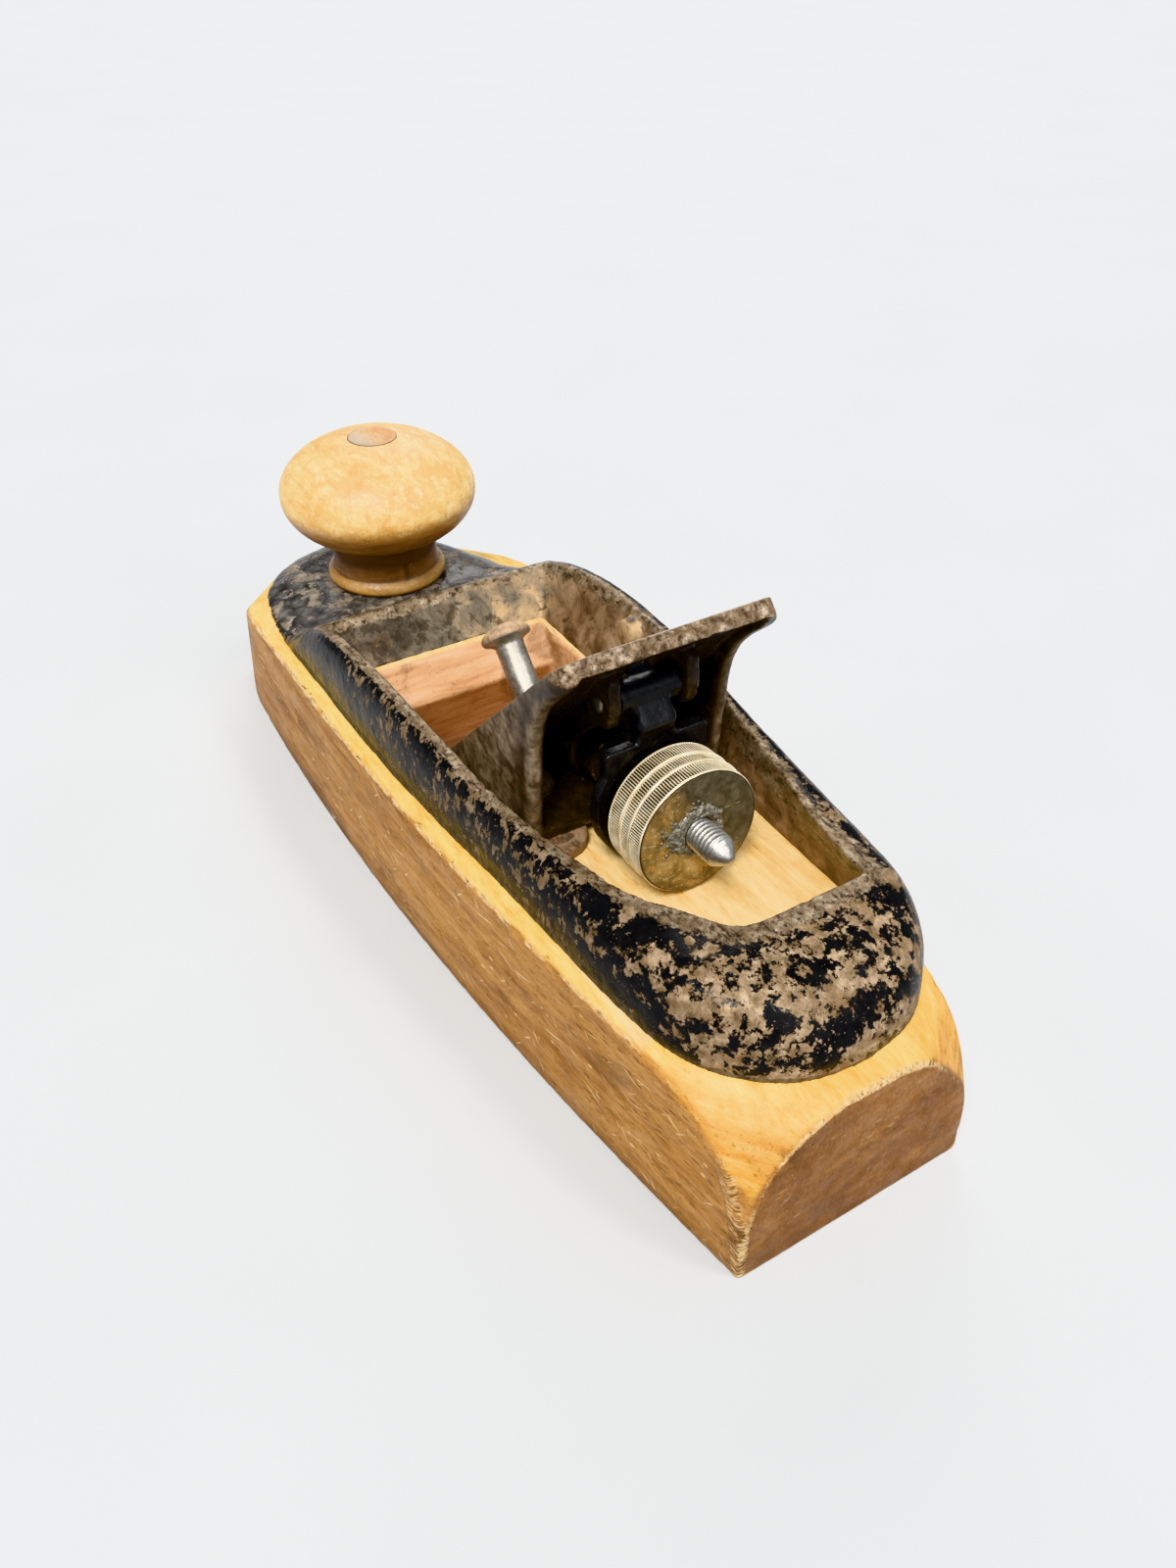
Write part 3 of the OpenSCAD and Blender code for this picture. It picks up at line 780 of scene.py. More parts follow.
def build_body():
    t = np.linspace(0, 1, 110)
    xs = -HL + 2 * HL * (t - 0.115 * np.sin(2 * math.pi * t))
    h = half_at(xs)
    el = np.where(xs > 30, rise_tl(HL - xs), rise_l(xs + HL))
    er = np.where(xs > 30, rise_tr(HL - xs), rise_r(xs + HL))
    z0 = np.full_like(xs, 0.0)
    pts = [np.stack([xs, h - .35, z0], 1), np.stack([xs, -h + .35, z0], 1),
           np.stack([xs, h, z0 + .5], 1), np.stack([xs, -h, z0 + .5], 1),
           np.stack([xs, h - toe_in(xs), el], 1), np.stack([xs, toe_in(xs) - h, er], 1)]
    k = (xs > -96) & (xs < 40)
    pts.append(np.stack([xs, h - 2.6, z0 + SEAT], 1)[k])
    k = (xs > -62) & (xs < 40)
    pts.append(np.stack([xs, 2.6 - h, z0 + SEAT], 1)[k])
    z = np.linspace(0, 37, 40)
    pts += [np.stack([np.full_like(z, -HL), end_l(z), z], 1),
            np.stack([np.full_like(z, -HL), -end_r(z), z], 1)]
    z = np.linspace(0, 28.4, 36)
    tx = HL - 2.6 * (np.maximum(z - 8, 0) / 20)**2
    pts += [np.stack([tx, end_t(z), z], 1), np.stack([tx, -end_t(z), z], 1)]
    for x in np.linspace(46, 109.5, 44):
        pts.append(seat_line(x))
    pts = np.concatenate(pts)
    bm = bmesh.new()
    for p in pts:
        bm.verts.new(p * MM)
    out = bmesh.ops.convex_hull(bm, input=bm.verts)
    loose = [v for v in bm.verts if not v.link_faces]
    bmesh.ops.delete(bm, geom=loose, context="VERTS")
    me = bpy.data.meshes.new("body")
    bm.to_mesh(me)
    bm.free()
    ob = bpy.data.objects.new("body", me)
    bpy.context.scene.collection.objects.link(ob)
    clean(ob)
    throat = [(37.1, -1), (37.1, 0), (6.6, 30.5), (3.2, 27.2), (-11.7, 40), (36.2, 40),
              (36.2, 37), (30, 28.8), (41.7, 0), (41.7, -1)]
    boolean(ob, prism("tool", throat, -22.5, 22.5))
    boolean(ob, cyl(7, -11, 1, frame_on_bed(29.8)))
    remesh(ob, 0.62)
    relax(ob, 4, 0.5)

    # wear: dents along the arrises, a rubbed heel, and flat scrapes
    co, nn = points(ob), normals(ob)
    edge = edges_of(ob, 16)
    proud = step(0.06, 0.35, edge)
    soft = averaged(proud, links(ob), 6)
    n1 = fbm(co, 5.0, 3, 11)
    n2 = fbm(co, (16, 7, 7), 3, 12)
    n3 = noise3(co, 2.2, 13)
    dent = (np.clip(n1 - .56, 0, 1) * 2.6 + np.clip(n3 - .8, 0, 1) * 1.2) * soft
    dent += np.clip(n2 - .6, 0, 1) * 1.0 * (co[:, 2] > 3)
    hack, far = hacked_at(co)
    slant = np.stack([co[:, 0] / 3, co[:, 1] / 3, (co[:, 2] - .8 * far) / 1.5], 1)
    near = step(5, 2, np.abs(co[:, 0] + HL)) * (far > 3) * step(6, 12, co[:, 2])
    dent *= 1 - .75 * near
    dent += hack * np.clip(noise3(slant, 1.0, 14) - .36, 0, 1) * .8
    # no dents inside the throat
    inside = (np.abs(co[:, 1]) < 22.3) & (co[:, 0] > -12) & (co[:, 0] < 42) & (co[:, 2] > .6)
    dent = dent * ~inside
    sole = step(1.2, .2, co[:, 2])
    put(ob, co - nn * (np.clip(dent, 0, .7) * (1 - sole))[:, None])
    relax(ob, 1, 0.35)
    return ob


# -------------------------------------------------------- cast top frame

def tub_row(x, z, r, l, dx, g=3.0):
    h = z - SEAT + 1
    return np.array([(x - h * dx, -OPEN, SEAT - 1), (x, -r, z),
                     (x + g * dx, .4 - r - (r - OPEN) * g / h, z + g),
                     (x + g * dx, l + (l - OPEN) * g / h - .4, z + g),
                     (x, l, z), (x - h * dx, OPEN, SEAT - 1)])


def build_frame():
    t = np.linspace(0, 1, 34)
    xs = np.concatenate([-109.6 + 23.1 * t**1.7, np.arange(-84.5, 88, 2.0),
                         89 + 20.5 * (1 - (1 - np.linspace(0, 1, 26))**1.6)])
    ob = loft("frame", [rim_ring(x) for x in xs])
    xs = np.concatenate([[-86.4, -86, -85.5, -84, -82.5], np.arange(-81, 33, 2.0)])
    rows = [tub_row(x, rim_at(x), float(in_r(x)) - .2, float(in_l(x)) - .2, 0) for x in xs]
    rows.append(tub_row(47.2, 46.8, 29.8, 29.8, .898))
    boolean(ob, loft("tool", rows))
    xs = [-106, -105.5, -105, -104, -102, -100, -98.5, -97, -95.4, -93.5, -92, -90, -88, -85.9]
    rows = []
    a = np.radians(np.linspace(0, 90, 12))
    for x in xs:
        b = min(max(float(base_tab(x)) - 3.8, 3), OPEN)
        q = min(max((-x - 85.9) / 20.1, 0), 1)
        h = 2.5 + 9.1 * max(1 - q**2.2, .001)**.5
        y = b * np.maximum(np.cos(a), 0)**.66
        z = SEAT - 1 + h * np.sin(a)**.66
        left = np.stack([np.full(12, x), -y, z], 1)
        right = np.stack([np.full(12, x), y, z], 1)[::-1][1:]
        rows.append(np.concatenate([left, right]))
    boolean(ob, loft("tool", rows))
    boolean(ob, cyl(15.8, 38.2, 47.2, at(79.3, 0, 0), 96))
    parts = []
    for s in (-1, 1):
        o = [(-37.2 + 6.4 * math.cos(k), s * 15.6 + 6.4 * math.sin(k))
             for k in np.radians(np.arange(90, 271, 12))]
        o += [(-18, s * 15.6 - 6.4), (-18, s * 15.6 + 6.4)]
        parts.append(prism("tool", o, 36.9, FROG_Z, "Z"))
        lo, hi = sorted((s * 15.6, s * 26.2))
        parts.append(block((-34, lo, 36.9), (-18, hi, FROG_Z)))
    parts.append(cyl(3.1, 0, 6.4, across(3.2, -25.6, 50.2), 40))
    join(ob, *parts)
    # the voxel skin joins the overlapping solids into one casting
    size = 0.5
    remesh(ob, size)
    for s in (-1, 1):
        boolean(ob, cyl(2.2, 36, FROG_Z + 1, at(-37.2, s * 15.6, 0), 32))
    relax(ob, 3, 0.5)
    # the opening's corners at the toe are filled with a soft round
    co = points(ob)
    free = (step(38, 44, co[:, 0]) * step(53, 49, co[:, 0]) * step(22, 26, np.abs(co[:, 1]))
            * step(33.5, 31, np.abs(co[:, 1])) * step(38.2, 40, co[:, 2]))
    soft = averaged(co, links(ob), 40)
    put(ob, co + (soft - co) * free[:, None])
    co, nn = points(ob), normals(ob)
    edge = averaged(step(.03, .3, edges_of(ob, 14)), links(ob), 3)
    rough = (fbm(co, 7, 3, 21) - .5) * .34 + (fbm(co, 1.7, 2, 22) - .5) * .1
    nick = np.clip(noise3(co, 2.6, 23) - .66, 0, 1) * 1.5 * edge
    hidden = step(.8, 0, co[:, 2] - (SEAT - left_drop(co[:, 0]))) * step(-.5, -.9, nn[:, 2])
    put(ob, co + nn * ((rough - nick) * (1 - hidden))[:, None])
    return ob


# ------------------------------------------------------------------- frog

def build_frog():
    line = [(6.6, 30.5), (-50.3, 87.4), (-52.4, 87.5), (-53.6, 86.7), (-53.7, 85.4),
            (-51, 81.6), (-47.2, 78), (-43.9, 74.1), (-41.7, 69.6), (-40.7, 64.6),
            (-40.2, 58), (-39.4, 46), (-39, FROG_Z), (-8.86, FROG_Z), (3.42, 27.32)]
    rad = [.3, 1, 1.4, 1.2, 1.4, 8, 8, 8, 8, 8, 8, 8, .4, .6, .6]
    inner = [(-11.86, 42.6), (-33.4, 64.1), (-37.4, 69), (-41.3, 74.4), (-45, 78.6),
             (-48.8, 82), (-53.2, 85.2), (-60, 86), (-64, 42.6)]
    irad = [5, 7, 8, 8, 8, 8, 4, 0, 0]
    w = 22.2
    ob = prism("frog", rounded(line, rad, 6), -w, w)
    boolean(ob, prism("tool", rounded(inner, irad, 6), 3.3 - w, w - 3.3))
    # rounded upper corners: (x up the bed, y), as the outline keeps them
    pts = [(-60, -w), (-60, w), (95, w)]
    pts += [(95 + 3 * math.sin(a), w - 3 + 3 * math.cos(a)) for a in np.radians(np.arange(10, 91, 10))]
    pts += [(90.4 + 7 * math.cos(a), 7 - w - 7 * math.sin(a)) for a in np.radians(np.arange(0, 91, 8))]
    keep = prism("tool", [(p[0], p[1]) for p in pts], -60, 10, "Z")
    keep.data.transform(Matrix(scaled(frame_on_bed(0)).tolist()))
    keep.data.update()
    boolean(ob, clean(keep), "INTERSECT")
    extra = []
    rib = [(-21, 52.5), (-32, 63), (-38.5, 73), (-43, 78.5), (-46.6, 77), (-47, 71),
           (-46.2, 67), (-42.4, 65.6), (-38, 62), (-31, 54)]
    for a, b in ((7, 9.6), (-9.6, -7)):
        extra.append(prism("tool", rounded(rib, 2.2, 5), a, b))
    extra.append(cyl(6.2, 27, 47, frame_on_stud(0), 64))
    extra.append(cyl(7.6, 33.2, 47, frame_on_stud(0), 64, 8.4))
    extra.append(cyl(6.2, -9.5, -2.5, frame_on_bed(29.8), 48))
    # strengthening ribs from the stud's boss down the back of the plate
    extra.append(prism("tool", [(-8, 43), (-30, 65), (-28.5, 62.5), (-22, 52), (-13, 43)], -1.6, 1.6))
    join(ob, *extra)
    remesh(ob, 0.4)
    relax(ob, 3, 0.5)
    # the flanges' rear edges are well rounded
    co, e = points(ob), links(ob)
    free = (step(15.5, 18.5, np.abs(co[:, 1])) * step(1.5, 4.5, (37.1 - co[:, 0] - co[:, 2]) / math.sqrt(2))
            * step(41.5, 45, co[:, 2]) * step(84, 79, co[:, 2]))
    soft = averaged(co, e, 28)
    put(ob, co + (soft - co) * free[:, None])
    # the bed face is machined flat after casting
    boolean(ob, prism("tool", [(60, -22.9), (-60, 97.1), (20, 97.1)], -30, 30))
    boolean(ob, cyl(3.175, 20, 80, frame_on_stud(0), 40))
    boolean(ob, cyl(3.3, -20, 20, frame_on_bed(29.8), 40))
    boolean(ob, cyl(1.6, -12, 12, across(-43, 0, 71), 32))
    boolean(ob, block((-7, -3.6, -14), (6.5, 3.6, 6), frame_on_bed(81.5)))
    for s in (-1, 1):
        boolean(ob, cyl(2.4, 30, 50, at(-26, s * 14.4, 0), 32))
    co, nn = points(ob), normals(ob)
    d = (37.1 - co[:, 0] - co[:, 2]) / math.sqrt(2)
    cast = step(.05, .9, d)
    rough = (fbm(co, 5, 3, 31) - .5) * .3 + (fbm(co, 1.3, 2, 32) - .5) * .12
    lip = step(80, 84, co[:, 2]) * cast
    pit = np.clip(noise3(co, 1.5, 33) - .6, 0, 1) * .9 * lip
    put(ob, co + nn * ((rough - pit) * cast)[:, None])
    return ob


def scaled(m):
    """A placement in millimetres as the matrix that moves points in metres."""
    m = np.array(m, float)
    m[:3, 3] *= MM
    return m


# ------------------------------------------------------------------- knob

def build_knob():
    kb, r, c = 38.2, 24.7, 61.5
    line = [(0, kb), (8, kb), (14.2, kb), (14.7, kb + .1), (15.1, kb + .5), (15.28, kb + 1.2),
            (15.25, kb + 1.9), (15.05, kb + 2.5), (14.6, kb + 3), (14.1, kb + 3.35),
            (13.85, kb + 3.7), (13.7, kb + 4.2), (13.5, kb + 5.2), (13.36, kb + 6.4),
            (13.34, kb + 7.4), (13.42, kb + 8.4), (13.65, kb + 9.4), (14.2, kb + 10.6)]
    a = np.radians(np.arange(-50, 83.1, 1.9))
    line += [(r * math.cos(k), c + 14 * math.sin(k)) for k in a]
    line += [(2.2, 75.49), (0, 75.5)]
    ob = lathe("knob", line, 220, at(79.3, 0, 0))
    boolean(ob, cyl(6.2, 60, 80, at(79.3, 0, 0), 96))
    boolean(ob, cyl(2.6, 30, 70, at(79.3, 0, 0), 32))
    tidy(ob)
    co, nn = points(ob), normals(ob)
    out = np.hypot(co[:, 0] - 79.3, co[:, 1])
    turn = (fbm(co, 9, 2, 41) - .5) * .22
    dent = np.clip(noise3(co, 3.5, 42) - .74, 0, 1) * 1.0
    ring = .035 * np.sin(co[:, 2] * 2 * math.pi / 1.15 + 2 * noise3(co, 14, 43))
    ring = ring * step(57, 52, co[:, 2])
    free = step(6.5, 8, out) * step(38.6, 40.5, co[:, 2])
    put(ob, co + nn * ((turn - dent + ring) * free)[:, None])
    return ob


def build_plug():
    r = np.linspace(0, 1, 12)[1:]
    top = [(6.05 * k, 75.5 - .95 + .82 * k**2 + .1 * math.sin(9 * k)) for k in r[:-1]]
    line = [(0, 67.5), (5.9, 67.5), (6.12, 67.8), (6.14, 74.6), (6.08, 75.2)] + top[::-1] + [(0, 74.55)]
    ob = lathe("plug", line, 72, at(79.3, 0, 0))
    co, nn = points(ob), normals(ob)
    up = step(74, 74.8, co[:, 2])
    put(ob, co + nn * ((fbm(co, 2.4, 3, 44) - .5) * .3 * up)[:, None])
    return ob


# ------------------------------------------------------------- small iron

def build_wheel():
    """Adjusting wheel: three knurled bands between two raised smooth lines."""
    w, R = 10.8, 13.05
    teeth = 150

    def knurl(r, z, a):
        s = z / w
        band = (step(.045, .06, s) * step(.325, .31, s)
                + step(.4, .415, s) * step(.6, .585, s)
                + step(.675, .69, s) * step(.955, .94, s))
        saw = np.abs(((a * teeth / (2 * math.pi) + .11 * np.sin(a * 3 + s * 4)) % 1) - .5) * 2
        cutd = .38 * step(.25, .75, saw) * (1 + .2 * np.sin(a * 5 + 1) + .12 * np.sin(a * 17))
        rim = step(R - 1.2, R - .5, r)
        return r - cutd * band * rim
    z = [0, .25, .45, .6, .8, 1.2, 1.7, 2.2, 2.7, 3.0, 3.08]
    rim = [(5.6, 0), (8, .0), (9.5, 0), (11, 0), (R - .75, 0), (R - .45, .08), (R - .22, .28),
           (R - .15, .5)]
    rim += [(R - .15, k) for k in (.62, .8, 1.1, 1.6, 2.1, 2.6, 3.1, 3.34, 3.42)]
    rim += [(R - .42, 3.48), (R - .4, 3.54), (R - .1, 3.62), (R, 3.76), (R, 3.96), (R - .1, 4.1),
            (R - .4, 4.18), (R - .42, 4.24)]
    rim += [(R - .15, k) for k in (4.32, 4.42, 4.7, 5.0, 5.4, 5.8, 6.1, 6.38, 6.48)]
    rim += [(R - .42, 6.56), (R - .4, 6.62), (R - .1, 6.7), (R, 6.84), (R, 7.04), (R - .1, 7.18),
            (R - .4, 7.26), (R - .42, 7.32)]
    rim += [(R - .15, k) for k in (7.38, 7.46, 7.7, 8.2, 8.7, 9.2, 9.7, 10.1, 10.26)]
    rim += [(R - .22, 10.5), (R - .45, 10.72), (R - .75, 10.8), (9, 10.8), (5.6, 10.8)]
    ob = tube("wheel", rim, 150 * (8), frame_on_stud(0), knurl)
    co, nn = points(ob), normals(ob)
    # the face is worn a little uneven
    face = step(-.9, -.99, nn @ frame_on_stud(0)[:3, 2])
    put(ob, co + nn * ((fbm(co, 2.2, 3, 51) - .6) * .12 * face)[:, None])
    return ob


def build_bush():
    line = [(3.24, -.3), (3.5, -.35), (5.2, -.35), (5.5, -.2), (5.6, 0), (5.6, 10.6),
            (5.4, 10.8), (3.3, 10.8), (3.24, 10.7)]
    ob = tube("bush", rounded(line, .08, 3), 96, frame_on_stud(0))
    return ob


def build_crust():
    """Dried grey deposit round the bush: low grains grown together."""
    rng = np.random.default_rng(7)
    m = frame_on_stud(0)
    grains = []
    n = 420
    while len(grains) < n:
        a = rng.uniform(0, 2 * math.pi)
        # thickest at the left of the bush and above the stud
        left = math.exp(-((math.remainder(a - 1.75, 2 * math.pi)) / .62)**2)
        up = math.exp(-((math.remainder(a - 3.0, 2 * math.pi)) / .75)**2)
        dense = .05 + left + .34 * up
        if rng.uniform() > dense:
            continue
        r = 3.9 + abs(rng.normal(0, 1)) * (1.35 * left + .8 * up + .3) * 1.2
        if r > 9.2:
            continue
        grains.append((a, r, rng.uniform(.16, .42) * (1.15 if r < 6 else .8)))
    bm = bmesh.new()
    for a, r, g in grains:
        base = -.35 if r < 5.5 else 0.0
        mat = (Matrix(m.tolist()) @ Matrix.Translation((r * math.cos(a), r * math.sin(a), base - g * .25))
               @ Matrix.Rotation(rng.uniform(0, 6), 4, "Z")
               @ Matrix.Diagonal((g * rng.uniform(.8, 1.5), g * rng.uniform(.8, 1.3), g * rng.uniform(.7, 1.2), 1)))
        bmesh.ops.create_icosphere(bm, subdivisions=2, radius=1.0, matrix=mat)
    bmesh.ops.scale(bm, vec=(MM, MM, MM), verts=bm.verts)
    me = bpy.data.meshes.new("crust")
    bm.to_mesh(me)
    bm.free()
    ob = bpy.data.objects.new("crust", me)
    bpy.context.scene.collection.objects.link(ob)
    mm = ob.modifiers.new("skin", "REMESH")
    mm.mode, mm.voxel_size, mm.adaptivity = "VOXEL", .00013, 0.0
    bpy.context.view_layer.update()
    apply(ob)
    keep_largest(ob, .0004)
    relax(ob, 1, .15)
    return ob


def build_stud():
    """Threaded stud: a real 1 mm pitch thread behind a short plain cone."""
    R, L, pitch = 3.175, 57.0, 1.0
    n = 48
    dz = .125
    zs = np.arange(.9, L - .2, dz)
    ang = np.arange(n) * 2 * math.pi / n
    z, a = np.repeat(zs, n), np.tile(ang, len(zs))
    ph = (z / pitch - a / (2 * math.pi)) % 1.0
    tooth = np.abs(ph - .5) * 2
    prof = step(.08, .92, tooth)
    out = R - .52 * (1 - prof)
    coner = np.clip(.95 + (z / 3.1)**.9 * (R - .95), 0, R)
    r = np.minimum(out, coner - .04 * (1 - prof))
    v = np.stack([r * np.cos(a), r * np.sin(a), z], 1)
    v = np.concatenate([v, [[0, 0, 0.02]], [[0, 0, L]]])
    faces = []
    for i in range(len(zs) - 1):
        for j in range(n):
            k = (j + 1) % n
            faces.append((i * n + j, i * n + k, (i + 1) * n + k, (i + 1) * n + j))
    lo, hi, top = len(v) - 2, len(v) - 1, (len(zs) - 1) * n
    # flat nose of the cone
    ring0 = len(v)
    v = np.concatenate([v, np.stack([.86 * np.cos(ang), .86 * np.sin(ang), np.full(n, .03)], 1)])
    for j in range(n):
        k = (j + 1) % n
        faces += [(lo, ring0 + k, ring0 + j), (ring0 + j, ring0 + k, k, j), (hi, top + j, top + k)]
    return clean(make("stud", moved(v, frame_on_stud(-9.6)), faces))


def build_collar():
    line = [(3.3, .25), (3.6, 0), (10.4, 0), (10.9, .15), (11.1, .5), (11.1, 1.0), (10.9, 1.25),
            (9.1, 1.35), (8.8, 1.6), (8.8, 5.8), (9.05, 6.1), (10.6, 6.25), (10.8, 6.5),
            (10.8, 7.0), (10.5, 7.4), (3.6, 7.4), (3.3, 7.15)]
    return tube("collar", rounded(line, .12, 3), 120, frame_on_stud(11.05))


def arc(cx, cy, r, a0, a1, n):
    return [(cx + r * math.cos(k), cy + r * math.sin(k)) for k in np.radians(np.linspace(a0, a1, n))]


def build_yoke():
    """Lever: a fork with hooked tips, an arm, a pivot barrel and a finger."""
    s = frame_on_stud(14.75 - 1.35) @ np.diag([-1.0, -1, 1, 1])
    parts = []
    outer = arc(0, 0, 13.55, 128, -128, 60)
    inner = arc(0, 0, 9.6, -128, 128, 50)
    ring = prism("tool", outer + inner, 0, 2.7, "Z")
    ring.data.transform(Matrix(scaled(s).tolist()))
    parts.append(clean(ring))
    for e in (-1, 1):
        q = math.radians(e * 131)
        parts.append(cyl(2.15, -.25, 2.95, s @ at(11.5 * math.cos(q), 11.5 * math.sin(q), 0), 32))
    for o in ([(2, -11.2), (12.4, -11.2), (13, -10.4), (13, 10.4), (12.4, 11.2), (2, 11.2),
               (9.4, 2), (9.6, 0), (9.4, -2)],
              [(9.8, -4.2), (17.6, -4.2), (17.6, 4.2), (9.8, 4.2)]):
        b = prism("tool", o, 0, 2.7, "Z")
        b.data.transform(Matrix(scaled(s).tolist()))
        parts.append(clean(b))
    arm = rounded([(-49.2, 66.5), (-47, 62.6), (-44.6, 64), (-40.4, 69), (-44, 73.4)], .8, 4)
    parts.append(prism("tool", arm, -3.8, 3.8))
    parts.append(cyl(3.2, -6.6, 6.6, across(-43, 0, 71), 48))
    fin = rounded([(-44.4, 72.2), (-41.4, 69.2), (-37.9, 72.6), (-37.4, 74.2), (-38.2, 76),
                   (-39.8, 76.4)], .7, 4)
    parts.append(prism("tool", fin, -2.5, 2.5))
    ob = join(*parts)
    remesh(ob, .24)
    relax(ob, 8, .5)
    # the arm is cast with well-rounded edges
    co = points(ob)
    free = step(60.5, 63.5, co[:, 2]) * step(5.4, 4.6, np.abs(co[:, 1]))
    put(ob, co + (averaged(co, links(ob), 18) - co) * free[:, None])
    boolean(ob, cyl(1.66, -12, 12, across(-43, 0, 71), 32))
    co, nn = points(ob), normals(ob)
    put(ob, co + nn * ((fbm(co, 2.5, 3, 61) - .5) * .12)[:, None])
    return ob


def slot_tool(place, r, w, depth, top):
    return block((-r - 1, -w / 2, top - depth), (r + 1, w / 2, top + 6), place)


def build_cap_screw():
    p = frame_on_bed(29.8)
    line = [(0, -10), (3.0, -10), (3.3, -9.6), (3.3, 8), (3.26, 12), (3.3, 17), (3.36, 17.4),
            (3.6, 17.8), (4.15, 18.15), (4.8, 18.4), (5.35, 18.65), (5.64, 19.05), (5.7, 19.5),
            (5.6, 20.05), (5.25, 20.55), (4.6, 21.1), (3.8, 21.55), (2.9, 21.85), (1.9, 22.08),
            (.9, 22.18), (0, 22.2)]
    ob = lathe("post", line, 96, p)
    co, nn = points(ob), normals(ob)
    put(ob, co + nn * ((fbm(co, 2.4, 3, 71) - .5) * .1)[:, None])
    return ob


def build_frame_screws():
    obs = []
    for place, rh, hh in ((at(99.5, 0, float(seat_at(99.5)) + 2.0), 3.8, 1.7),
                          (at(-37.2, 15.6, FROG_Z), 4.0, 2.0),
                          (at(-37.2, -15.6, FROG_Z), 4.0, 2.0)):
        line = [(0, -18), (.6, -17.6), (1.9, -15.4), (1.98, -hh - .2), (2.1, -hh),
                (rh - .25, -.35), (rh, -.15), (rh - .1, 0), (rh - .5, .06), (2, .1), (0, .1)]
        ob = lathe("screw", line, 56, place)
        boolean(ob, slot_tool(place @ spin(25 + 30 * len(obs)), rh, .95, 1.0, .1))
        obs.append(ob)
    return join(*obs)


def spin(deg):
    c, s = math.cos(math.radians(deg)), math.sin(math.radians(deg))
    return np.array([[c, -s, 0, 0], [s, c, 0, 0], [0, 0, 1, 0], [0, 0, 0, 1]], float)


def build_frog_screws():
    obs = []
    for i, s in enumerate((-1, 1)):
        place = at(-26, s * 14.4, FROG_Z + 3.8)
        line = [(0, -24), (.6, -23.6), (2.3, -21.5), (2.38, -.1), (2.6, 0), (4.1, 0), (4.2, .15),
                (4.05, .6), (3.7, 1.2), (3.1, 1.75), (2.2, 2.15), (1.1, 2.36), (0, 2.4)]
        ob = lathe("screw", line, 64, place)
        boolean(ob, slot_tool(place @ spin(70 - 55 * i), 4.4, 1.0, 1.1, 2.4))
        obs.append(ob)
    return join(*obs)


def build_frog_washers():
    obs = []
    for s in (-1, 1):
        line = [(2.45, .05), (2.6, 0), (4.25, 0), (4.4, .15), (4.4, .6), (4.3, .78), (2.6, .8), (2.45, .7)]
        obs.append(tube("washer", line, 64, at(-26, s * 14.4, FROG_Z + 3)))
    return join(*obs)


def build_knob_screw():
    p = at(79.3, 0, 64)
    line = [(0, -56), (.6, -55.6), (2.5, -53), (2.58, -.1), (2.8, 0), (4.55, 0), (4.7, .2), (4.6, .8),
            (4.2, 1.6), (3.4, 2.4), (2.3, 3.0), (1.1, 3.3), (0, 3.38)]
    ob = lathe("screw", line, 64, p)
    return boolean(ob, slot_tool(p @ spin(35), 5, 1.2, 1.3, 3.38))


def build_knob_washer():
    line = [(2.65, .05), (2.8, 0), (5.5, 0), (5.75, .2), (5.75, .75), (5.5, 1), (2.8, 1), (2.65, .9)]
    return tube("washer", line, 64, at(79.3, 0, 63))


def build_pin():
    line = [(0, -10), (1.2, -10), (1.5, -9.8), (1.6, -9.4), (1.6, 9.4), (1.5, 9.8), (1.2, 10), (0, 10)]
    return lathe("pin", line, 48, across(-43, 0, 71))


# --------------------------------------------------------------- finishes

